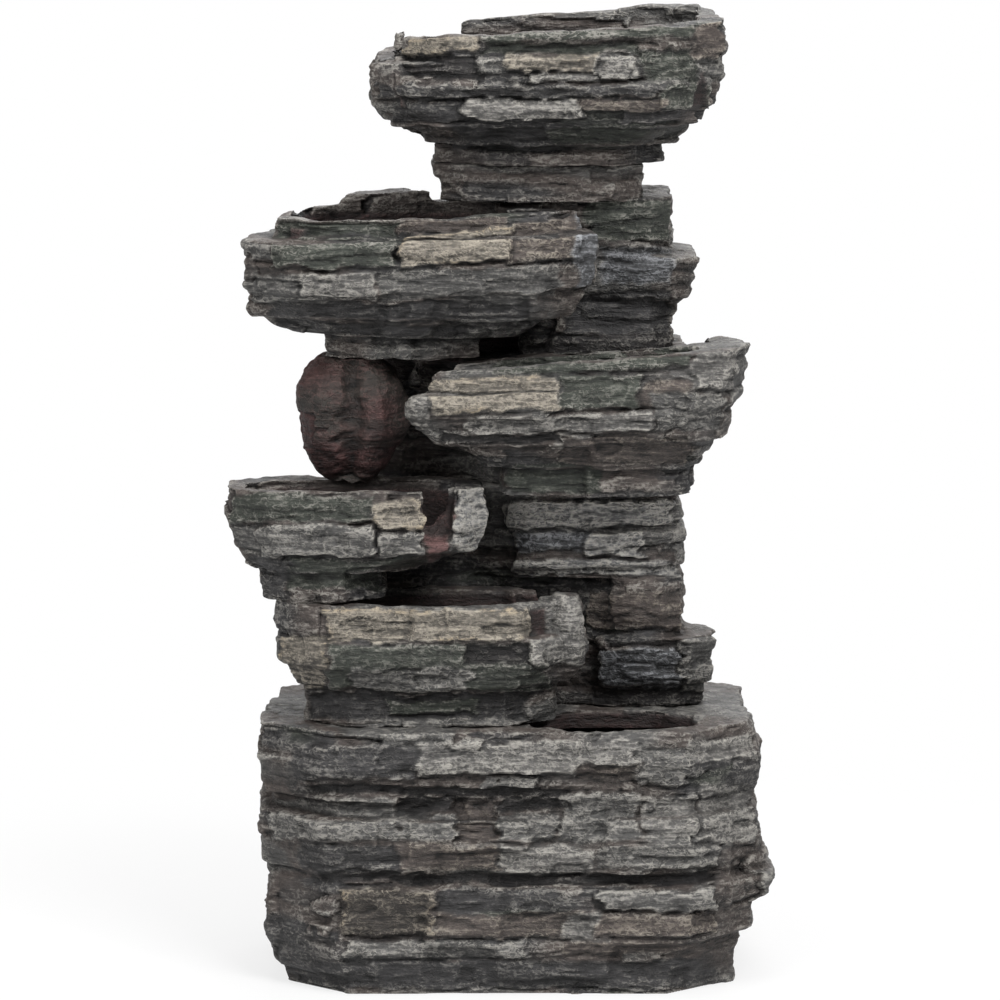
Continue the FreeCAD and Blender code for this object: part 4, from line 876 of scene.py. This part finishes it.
@dataclass(frozen=True)
class RockFinish:
    """Painted resin rock: grain along the beds, a net of fine ridges, dry-brushed high spots, and each point's
    painted shade.
    """

    name: str
    grain_stretch: Colour = (1.0, 1.0, 5.0)
    grain_scale: float = 55.0
    worm_stretch: Colour = (1.0, 1.0, 1.5)
    worm_scale: float = 125.0
    dusting: float = 1.5
    bump_depth: float = 3.6

    def material(self) -> bpy.types.Material:
        """Builds the material."""
        shader = Shader(self.name)
        place = shader.place()
        wander = shader.node("ShaderNodeTexNoise", {}, Vector=place, Scale=95.0, Detail=2.0, result="Color")
        shift = shader.vector("SUBTRACT", wander, (0.5, 0.5, 0.5))
        shift = shader.vector("MULTIPLY", shift, (0.011, 0.011, 0.006))
        moved = shader.vector("ADD", place, shift)
        grain_place = shader.vector("MULTIPLY", moved, self.grain_stretch)
        grain = shader.noise(grain_place, self.grain_scale, 3.0, 0.62)
        fibres = shader.noise(shader.place((0.32, 0.32, 1.9)), 165.0, 2.0, 0.55, 0.3)
        pits = shader.noise(shader.place((1.0, 1.0, 1.4)), 240.0, 2.0, 0.6)
        worm_place = shader.vector("MULTIPLY", moved, self.worm_stretch)
        contour = shader.noise(worm_place, self.worm_scale, 1.6, 0.5, 0.5)
        worms = 1.0 - (contour - 0.5).maths("ABSOLUTE").step(0.012, 0.085)
        patch = shader.noise(shader.place((1.0, 1.0, 2.2)), 15.0, 2.0).step(0.36, 0.56)
        speck = shader.noise(place, 700.0, 2.0, 0.6)
        paint = shader.attribute("paint", "Color")
        # The paint attribute's alpha holds each point's painted shade.
        painted_shading = shader.attribute("paint", "Alpha")
        brush = shader.attribute("brush", "Color")
        dust = shader.attribute("brush", "Alpha")
        # The ground is darkened by the painted shade and by the grain, fibres and pits.
        tone = 0.17 + 0.74 * painted_shading + 0.6 * (grain - 0.5) + 1.1 * (fibres - 0.5) + 0.8 * (pits - 0.5)
        shade = shader.node("ShaderNodeCombineColor", {}, tone.clamped(), tone.clamped(), tone.clamped())
        ground = shader.mix(1.0, paint, shade, "MULTIPLY")
        ridges = 0.3 * worms * patch + 0.35 * (grain - 0.5) + 0.8 * (fibres - 0.5) + 0.7 * (pits - 0.5)
        ridges = ridges + 0.25 * (speck - 0.5)
        dragged = (ridges + 0.35 * dust).step(0.04, 0.4) * (0.02 + self.dusting * dust).clamped()
        colour = shader.mix(dragged * 0.95, ground, brush)
        height = grain * 0.6 + fibres * 0.7 + worms * patch * 0.25 + pits * 0.45 + speck * 0.1
        shader.set(Base_Color=colour, Roughness=0.56 + 0.3 * pits - 0.1 * dragged,
                   Normal=shader.bump(height, 1.0, self.bump_depth * MM))
        return shader.material


@dataclass(frozen=True)
class MouldedFinish:
    """Moulded plastic or rubber: one colour with a fine mould texture and handling marks."""

    name: str
    colour: Colour
    roughness: float
    texture: float
    metallic: float = 0.0

    def material(self) -> bpy.types.Material:
        """Builds the material."""
        shader = Shader(self.name)
        place = shader.place()
        mottle = shader.noise(place, 45.0, 3.0)
        pores = shader.noise(place, 1400.0, 2.0)
        dark = tuple(0.72 * value for value in self.colour)
        colour = shader.mix(mottle.step(0.3, 0.7), rgba(dark), rgba(self.colour))
        shader.set(Base_Color=colour, Metallic=self.metallic,
                   Roughness=(self.roughness + 0.22 * (mottle - 0.5) + 0.16 * (pores - 0.5)).clamped(),
                   Normal=shader.bump(pores, self.texture, 0.25 * MM))
        return shader.material


@dataclass(frozen=True)
class BrushedFinish:
    """Bare metal with fine lines from working."""

    name: str
    colour: Colour
    roughness: float

    def material(self) -> bpy.types.Material:
        """Builds the material."""
        shader = Shader(self.name)
        lines = shader.noise(shader.place((1.0, 1.0, 14.0)), 260.0, 2.0)
        marks = shader.noise(shader.place(), 90.0, 3.0)
        dark = tuple(0.6 * value for value in self.colour)
        colour = shader.mix(marks.step(0.25, 0.75), rgba(dark), rgba(self.colour))
        shader.set(Base_Color=colour, Metallic=1.0, Roughness=self.roughness + 0.2 * (lines - 0.5),
                   Normal=shader.bump(lines, 0.25, 0.15 * MM))
        return shader.material


# Slabs with the near-black tint are painted shade, laid in grooves and recesses.
TOP_SLABS = (
    Slab(left=475, right=692, top=24, bottom=40, proud=3, tint=Tint.GREEN, slope=-5),
    Slab(left=408, right=475, top=36, bottom=54, proud=1, tint=Tint.OCHRE, slope=-8),
    Slab(left=480, right=640, top=41, bottom=53, proud=-5, tint=Tint.GREEN),
    Slab(left=400, right=478, top=56, bottom=80, proud=-7, tint=Tint.PAINTED_SHADE),
    Slab(left=477, right=505, top=55, bottom=74, proud=1, tint=Tint.GREY),
    Slab(left=503, right=600, top=53, bottom=71, proud=5, tint=Tint.OCHRE),
    Slab(left=598, right=636, top=56, bottom=80, proud=3, tint=Tint.PALE),
    Slab(left=530, right=600, top=71, bottom=82, proud=2, tint=Tint.PALE),
    Slab(left=640, right=700, top=48, bottom=83, proud=-3, tint=Tint.GREEN),
    Slab(left=694, right=722, top=20, bottom=60, proud=2, tint=Tint.BROWN),
    Slab(left=380, right=660, top=84, bottom=98, proud=5, tint=Tint.CHARCOAL, slope=-2),
    Slab(left=660, right=706, top=84, bottom=110, proud=5, tint=Tint.GREEN),
    Slab(left=461, right=582, top=98, bottom=119, proud=6, tint=Tint.PALE),
    Slab(left=582, right=668, top=98, bottom=114, proud=2, tint=Tint.BROWN),
    Slab(left=388, right=458, top=101, bottom=126, proud=-2, tint=Tint.CHARCOAL),
    Slab(left=450, right=545, top=123, bottom=147, proud=-5, tint=Tint.CHARCOAL),
    Slab(left=545, right=690, top=126, bottom=148, proud=-3, tint=Tint.GREEN, slope=-6),
    Slab(left=590, right=700, top=5, bottom=20, proud=1, tint=Tint.PALE),
)
UPPER_LEFT_SLABS = (
    Slab(left=243, right=270, top=232, bottom=262, proud=0, tint=Tint.GREY),
    Slab(left=270, right=398, top=214, bottom=237, proud=-4, tint=Tint.GREEN),
    Slab(left=396, right=505, top=214, bottom=236, proud=-1, tint=Tint.BROWN),
    Slab(left=270, right=397, top=238, bottom=268, proud=5, tint=Tint.GREEN),
    Slab(left=401, right=510, top=232, bottom=264, proud=7, tint=Tint.OCHRE, slope=-13),
    Slab(left=506, right=583, top=221, bottom=262, proud=3, tint=Tint.BROWN, slope=-5),
    Slab(left=300, right=376, top=271, bottom=299, proud=4, tint=Tint.PALE),
    Slab(left=250, right=299, top=275, bottom=300, proud=1, tint=Tint.GREY),
    Slab(left=379, right=560, top=268, bottom=300, proud=0, tint=Tint.GREY, slope=-6),
    Slab(left=270, right=530, top=302, bottom=326, proud=-2, tint=Tint.CHARCOAL),
    Slab(left=330, right=470, top=327, bottom=342, proud=-2, tint=Tint.CHARCOAL),
    Slab(left=574, right=602, top=212, bottom=290, proud=2, tint=Tint.BLUISH),
)
MID_RIGHT_SLABS = (
    Slab(left=495, right=690, top=350, bottom=372, proud=1, tint=Tint.GREEN, slope=-8),
    Slab(left=432, right=560, top=376, bottom=411, proud=5, tint=Tint.OCHRE, slope=-4),
    Slab(left=562, right=640, top=374, bottom=409, proud=2, tint=Tint.GREEN),
    Slab(left=640, right=692, top=380, bottom=408, proud=-3, tint=Tint.BROWN),
    Slab(left=692, right=745, top=346, bottom=390, proud=2, tint=Tint.PALE),
    Slab(left=403, right=431, top=396, bottom=440, proud=2, tint=Tint.PALE),
    Slab(left=468, right=650, top=413, bottom=433, proud=4, tint=Tint.PALE, slope=-3),
    Slab(left=652, right=725, top=393, bottom=430, proud=0, tint=Tint.GREY),
    Slab(left=440, right=560, top=434, bottom=446, proud=-3, tint=Tint.PAINTED_SHADE),
    Slab(left=560, right=692, top=436, bottom=466, proud=-2, tint=Tint.BROWN),
    Slab(left=505, right=602, top=467, bottom=495, proud=-1, tint=Tint.GREEN),
)
MID_LEFT_SLABS = (
    Slab(left=231, right=374, top=494, bottom=522, proud=2, tint=Tint.GREEN),
    Slab(left=375, right=425, top=500, bottom=530, proud=4, tint=Tint.OCHRE),
    Slab(left=228, right=258, top=523, bottom=556, proud=-1, tint=Tint.GREY),
    Slab(left=259, right=374, top=524, bottom=557, proud=5, tint=Tint.GREY),
    Slab(left=374, right=426, top=532, bottom=558, proud=3, tint=Tint.GREY),
    Slab(left=427, right=453, top=505, bottom=582, proud=0, tint=Tint.RUST),
    Slab(left=285, right=430, top=559, bottom=590, proud=-3, tint=Tint.GREEN),
    Slab(left=245, right=284, top=560, bottom=600, proud=-1, tint=Tint.CHARCOAL),
    Slab(left=455, right=498, top=482, bottom=575, proud=4, tint=Tint.SNOWY),
)
LOWER_COLUMN_SLABS = (
    Slab(left=505, right=670, top=500, bottom=527, proud=5, tint=Tint.SNOWY, slope=-3),
    Slab(left=510, right=584, top=530, bottom=552, proud=-1, tint=Tint.BLUISH),
    Slab(left=585, right=642, top=533, bottom=558, proud=5, tint=Tint.SNOWY),
    Slab(left=510, right=680, top=560, bottom=576, proud=2, tint=Tint.SNOWY),
    Slab(left=588, right=686, top=590, bottom=630, proud=2, tint=Tint.BROWN),
    Slab(left=598, right=679, top=650, bottom=690, proud=1, tint=Tint.BLUISH),
    Slab(left=680, right=718, top=628, bottom=692, proud=3, tint=Tint.GREY),
    Slab(left=530, right=705, top=690, bottom=716, proud=0, tint=Tint.PAINTED_SHADE),
)
UPPER_COLUMN_SLABS = (
    Slab(left=600, right=672, top=246, bottom=285, proud=1, tint=Tint.BLUISH),
    Slab(left=585, right=676, top=196, bottom=240, proud=0, tint=Tint.GREEN),
    Slab(left=560, right=672, top=290, bottom=335, proud=-2, tint=Tint.CHARCOAL),
    Slab(left=450, right=690, top=336, bottom=366, proud=0, tint=Tint.PAINTED_SHADE),
)
LOWER_BOWL_SLABS = (
    Slab(left=325, right=530, top=608, bottom=643, proud=4, tint=Tint.OCHRE, slope=-3),
    Slab(left=276, right=326, top=636, bottom=690, proud=0, tint=Tint.OCHRE),
    Slab(left=327, right=545, top=645, bottom=690, proud=3, tint=Tint.GREEN),
    Slab(left=462, right=530, top=646, bottom=666, proud=-8, tint=Tint.PAINTED_SHADE),
    Slab(left=350, right=470, top=667, bottom=690, proud=2, tint=Tint.GREY),
    Slab(left=530, right=592, top=594, bottom=665, proud=0, tint=Tint.PALE),
    Slab(left=300, right=530, top=693, bottom=722, proud=-6, tint=Tint.CHARCOAL),
    Slab(left=385, right=480, top=700, bottom=716, proud=3, tint=Tint.GREEN),
)
BASE_SLABS = (
    Slab(left=290, right=416, top=746, bottom=780, proud=3, tint=Tint.CHARCOAL),
    Slab(left=417, right=636, top=741, bottom=774, proud=5, tint=Tint.PALE, slope=-3),
    Slab(left=575, right=634, top=763, bottom=781, proud=-5, tint=Tint.BROWN),
    Slab(left=637, right=690, top=746, bottom=786, proud=2, tint=Tint.GREY),
    Slab(left=690, right=760, top=738, bottom=762, proud=2, tint=Tint.PALE, slope=-6),
    Slab(left=290, right=570, top=786, bottom=798, proud=-8, tint=Tint.PAINTED_SHADE, slope=4),
    Slab(left=270, right=398, top=799, bottom=841, proud=2, tint=Tint.GREY),
    Slab(left=399, right=470, top=797, bottom=813, proud=-6, tint=Tint.PAINTED_SHADE),
    Slab(left=399, right=455, top=815, bottom=842, proud=1, tint=Tint.GREY),
    Slab(left=456, right=500, top=800, bottom=842, proud=-7, tint=Tint.BROWN),
    Slab(left=501, right=560, top=813, bottom=842, proud=1, tint=Tint.GREY),
    Slab(left=500, right=572, top=798, bottom=812, proud=-5, tint=Tint.PAINTED_SHADE),
    Slab(left=562, right=640, top=792, bottom=842, proud=2, tint=Tint.GREY, slope=-4),
    Slab(left=641, right=700, top=796, bottom=838, proud=0, tint=Tint.PALE, slope=-5),
    Slab(left=701, right=756, top=785, bottom=842, proud=0, tint=Tint.PALE),
    Slab(left=300, right=398, top=844, bottom=868, proud=-1, tint=Tint.CHARCOAL),
    Slab(left=399, right=500, top=844, bottom=870, proud=3, tint=Tint.BROWN),
    Slab(left=501, right=596, top=846, bottom=872, proud=5, tint=Tint.PALE),
    Slab(left=598, right=722, top=846, bottom=868, proud=3, tint=Tint.GREY),
    Slab(left=320, right=720, top=873, bottom=885, proud=-5, tint=Tint.PAINTED_SHADE, slope=3),
    Slab(left=340, right=436, top=889, bottom=936, proud=5, tint=Tint.UMBER),
    Slab(left=437, right=560, top=887, bottom=911, proud=-2, tint=Tint.CHARCOAL),
    Slab(left=437, right=590, top=912, bottom=938, proud=1, tint=Tint.BROWN),
    Slab(left=598, right=716, top=889, bottom=912, proud=5, tint=Tint.GREY),
    Slab(left=598, right=716, top=914, bottom=936, proud=4, tint=Tint.BROWN),
    Slab(left=565, right=598, top=915, bottom=945, proud=2, tint=Tint.PALE),
    Slab(left=345, right=526, top=941, bottom=958, proud=3, tint=Tint.GREY),
    Slab(left=560, right=720, top=940, bottom=954, proud=1, tint=Tint.BROWN),
    Slab(left=300, right=720, top=960, bottom=990, proud=-1, tint=Tint.CHARCOAL),
)


UNDERSIDE = Zone(-400, 400, -400, 400, -5, 0.4)
TUB = Zone(-224, 234, -160, 170, 14, 252)
DRAIN_RIM = Zone(-166, -114, 172, 205, 8, 62)
BASE_POOL = Zone(30, 204, -162, -36, 246, 267)
LOWER_ROOM = Zone(-148, 171, 12, 138, 200, 481)
DOOR_FRAME = Zone(2, 158, 100, 180, 300, 440)
LOWER_POOL = Zone(-160, 46, -150, -38, 338, 392)
MID_LEFT_POOL = Zone(-238, -46, -136, -54, 453, 506)
MID_RIGHT_ROOM = Zone(-104, 150, 38, 138, 500, 623)
MID_RIGHT_POOL = Zone(-28, 208, -145, -71, 580, 628)
MID_RIGHT_BACK = Zone(-170, 60, -20, 190, 630, 675)
MID_RIGHT_MOUND = Zone(-95, 55, 2, 150, 600, 690)
UPPER_LEFT_POOL = Zone(-216, 6, -134, 62, 718, 782)
UPPER_LEFT_SEAM = Zone(-2, 60, -62, 130, 630, 810)
UPPER_ROOM = Zone(54, 157, -26, 124, 640, 783)
UPPER_COLUMN_SEAM = Zone(10, 50, -70, 160, 630, 810)
TOP_ROOM = Zone(-46, 136, -54, 68, 838, 892)
TOP_POOL = Zone(-104, 208, -124, 118, 904, 940)
BOULDER_VALLEY = Zone(-172, -138, -300, 0, 480, 700)
DOOR_INSIDE = Zone(-100, 300, 100, 161, 200, 500)
LEFT_SCREW_SEAT = Zone(0, 24, 100, 200, 355, 385)
RIGHT_SCREW_SEAT = Zone(136, 160, 100, 200, 355, 385)


@dataclass
class Cascade:
    """The ten rock castings that are stacked into the fountain."""

    base_voxel: float = 3.0
    boulder_voxel: float = 1.9
    finish: RockFinish = RockFinish("slate_paint")
    boulder_finish: RockFinish = RockFinish("red_rock_paint", grain_stretch=(1.3, 1.3, 1.0), grain_scale=52.0,
                                            worm_stretch=(1.0, 1.0, 0.8), dusting=1.0)

    def castings(self) -> tuple[RockCasting, ...]:
        """Lists the slate castings from the ground up."""
        return (
            RockCasting("base_basin", seed=110, voxel=self.base_voxel, slab_back=-90, slabs=BASE_SLABS,
                        hidden=(TUB,), flat=(UNDERSIDE,), still=(DRAIN_RIM,), wet=(BASE_POOL,)),
            RockCasting("lower_column", seed=120, slab_back=20, slabs=LOWER_COLUMN_SLABS,
                        hidden=(LOWER_ROOM,), still=(DOOR_FRAME,)),
            RockCasting("lower_bowl", seed=130, slabs=LOWER_BOWL_SLABS, wet=(LOWER_POOL,)),
            RockCasting("mid_left_bowl", seed=140, slabs=MID_LEFT_SLABS, wet=(MID_LEFT_POOL,)),
            RockCasting("mid_right_bowl", seed=150, slabs=MID_RIGHT_SLABS, hidden=(MID_RIGHT_ROOM,),
                        wet=(MID_RIGHT_POOL, MID_RIGHT_BACK), mounds=(MID_RIGHT_MOUND,)),
            RockCasting("upper_left_bowl", seed=160, slabs=UPPER_LEFT_SLABS, wet=(UPPER_LEFT_POOL,),
                        seams=(UPPER_LEFT_SEAM,)),
            RockCasting("upper_column", seed=170, slab_back=20, slabs=UPPER_COLUMN_SLABS,
                        hidden=(UPPER_ROOM,), seams=(UPPER_COLUMN_SEAM,)),
            RockCasting("neck_slab", seed=180),
            RockCasting("top_bowl", seed=190, slabs=TOP_SLABS, hidden=(TOP_ROOM,), wet=(TOP_POOL,)))

    def build(self) -> None:
        """Makes the castings and the boulder."""
        slate = self.finish.material()
        for casting in self.castings():
            casting.build(slate)
        boulder = RockCasting("boulder", seed=216, voxel=self.boulder_voxel, slot="red_rock",
                              relief_share=0.3, lumps=3.0, palette=(Tint.RED, Tint.RED, Tint.UMBER),
                              seams=(BOULDER_VALLEY,), seam_swell=-8.0, seam_ease=17.0)
        boulder.build(self.boulder_finish.material())


@dataclass
class RearDoor:
    """The lift-off door at the back, with its two screws."""

    voxel: float = 1.5
    steel: BrushedFinish = BrushedFinish("screw_steel_bare", (0.56, 0.56, 0.57), 0.34)

    def build(self, rock: RockFinish, steel: bpy.types.Material) -> None:
        """Carves the door's outer face and dresses its screws.

        Args:
            rock: the finish of the castings.
            steel: the finish of the screws.
        """
        door = RockCasting("access_door", seed=200, voxel=self.voxel, body="door", bias=0.0, relief_share=0.4,
                           still=(DOOR_INSIDE, LEFT_SCREW_SEAT, RIGHT_SCREW_SEAT))
        door.build(rock.material())
        dress_nodes(steel, "door_screws")


def dress_nodes(material: bpy.types.Material, *nodes: str) -> None:
    """Gives solids that stay as they are a finish.

    Args:
        material: the finish.
        nodes: the solids' nodes.
    """
    for node in nodes:
        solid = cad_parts[node]
        solid.data.materials.clear()
        solid.data.materials.append(material)
        LOG.info("%s: %s", node, material.name)


@dataclass
class PumpSet:
    """The pump, its strainer and dial, the water's way up to the top bowl, and the drain bung."""

    housing: MouldedFinish = MouldedFinish("pump_plastic_black", (0.040, 0.040, 0.045), 0.45, 0.35)
    rubber: MouldedFinish = MouldedFinish("black_rubber_matt", (0.030, 0.030, 0.030), 0.78, 0.5)
    wheel: MouldedFinish = MouldedFinish("impeller_plastic_white", (0.72, 0.72, 0.69), 0.4, 0.2)
    dial: MouldedFinish = MouldedFinish("dial_plastic_grey", (0.11, 0.11, 0.12), 0.5, 0.4)
    shaft: MouldedFinish = MouldedFinish("shaft_ceramic_ground", (0.82, 0.81, 0.77), 0.22, 0.1)
    vinyl: MouldedFinish = MouldedFinish("hose_vinyl_black", (0.060, 0.060, 0.062), 0.36, 0.25)
    fitting: MouldedFinish = MouldedFinish("fitting_plastic_black", (0.050, 0.050, 0.050), 0.5, 0.4)

    def dress(self, steel: bpy.types.Material) -> None:
        """Gives every solid of the pump and the water's way its finish.

        Args:
            steel: the finish of the hose clamps.
        """
        dress_nodes(self.housing.material(), "pump_body", "pump_volute", "intake_cover", "outlet_barb")
        dress_nodes(self.rubber.material(), "suction_cups", "cable_gland", "volute_seal", "shaft_bushes",
                    "spout_seal", "drain_plug")
        dress_nodes(self.wheel.material(), "pump_impeller")
        dress_nodes(self.dial.material(), "flow_dial")
        dress_nodes(self.shaft.material(), "impeller_shaft")
        dress_nodes(self.vinyl.material(), "supply_hose")
        dress_nodes(self.fitting.material(), "spout_fitting", "spout_nut")
        dress_nodes(steel, "hose_clamps")


@dataclass(frozen=True)
class Lamp:
    """One soft lamp, with its power in watts."""

    name: str
    place: Colour
    size: float
    power: float


@dataclass
class Studio:
    """A pale floor and plain soft light."""

    floor_size: float = 120.0
    floor_glow: float = 0.76
    shadow_reach: float = 1.1
    sky: float = 0.2
    aim: Colour = (0.0, 0.0, 0.5)
    lamps: tuple[Lamp, ...] = (Lamp("key_lamp", (1.9, -3.2, 3.9), 2.2, 195.0),
                               Lamp("fill_lamp", (-3.0, -3.4, 2.6), 2.8, 105.0),
                               Lamp("top_lamp", (0.2, -0.6, 4.2), 2.4, 70.0),
                               Lamp("back_lamp", (0.5, 4.2, 2.6), 3.0, 120.0))

    def build(self) -> None:
        """Lays the floor, hangs the lamps and sets the sky."""
        work = bmesh.new()
        bmesh.ops.create_grid(work, x_segments=1, y_segments=1, size=self.floor_size / 2)
        mesh = bpy.data.meshes.new("floor")
        work.to_mesh(mesh)
        work.free()
        floor = bpy.data.objects.new("floor", mesh)
        bpy.context.scene.collection.objects.link(floor)
        mesh.materials.append(self.floor_paint())
        for lamp in self.lamps:
            self.hang(lamp)
        self.set_sky()
        bpy.context.scene.view_settings.view_transform = "Standard"

    def floor_paint(self) -> bpy.types.Material:
        """Makes a floor that is white to the camera and still takes a shadow."""
        shader = Shader("floor_white")
        paths = [shader.node("ShaderNodeLightPath", {}, result=name)
                 for name in ("Is Camera Ray", "Is Glossy Ray", "Is Transmission Ray")]
        seen = (paths[0] + paths[1] + paths[2]).clamped()
        away = shader.node("ShaderNodeVectorMath", {"operation": "LENGTH"}, shader.place(), result="Value")
        beyond = away.step(0.5 * self.shadow_reach, self.shadow_reach)
        glow_share = self.floor_glow + (1.0 - self.floor_glow) * beyond
        glow = shader.node("ShaderNodeEmission", {}, Color=(1.0, 1.0, 1.0, 1.0), Strength=1.0)
        shader.set(Base_Color=(0.86, 0.86, 0.86, 1.0), Roughness=0.9)
        paint = Socket(shader, shader.surface.outputs["BSDF"])
        both = shader.node("ShaderNodeMixShader", {}, seen * glow_share, paint, glow)
        shader.tree.links.new(both.output, shader.output.inputs["Surface"])
        return shader.material

    def hang(self, lamp: Lamp) -> None:
        """Hangs one square lamp that faces the middle of the fountain."""
        data = bpy.data.lights.new(lamp.name, "AREA")
        data.size = lamp.size
        data.energy = lamp.power
        light = bpy.data.objects.new(lamp.name, data)
        light.location = lamp.place
        look = Vector(self.aim) - Vector(lamp.place)
        light.rotation_euler = look.to_track_quat("-Z", "Y").to_euler()
        bpy.context.scene.collection.objects.link(light)

    def set_sky(self) -> None:
        """Sets a soft white sky."""
        world = bpy.data.worlds.new("studio_sky")
        world.use_nodes = True
        background = world.node_tree.nodes["Background"]
        background.inputs["Color"].default_value = (1.0, 1.0, 1.0, 1.0)
        background.inputs["Strength"].default_value = self.sky
        bpy.context.scene.world = world


def main() -> None:
    """Builds the fountain's pieces and the studio."""
    logging.basicConfig(level=logging.INFO, format="%(message)s")
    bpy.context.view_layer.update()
    PhotoView().camera()
    Studio().build()
    cascade = Cascade()
    cascade.build()
    door = RearDoor()
    steel = door.steel.material()
    door.build(RockFinish("door_slate_paint"), steel)
    PumpSet().dress(steel)


if __name__ == "__main__":
    main()
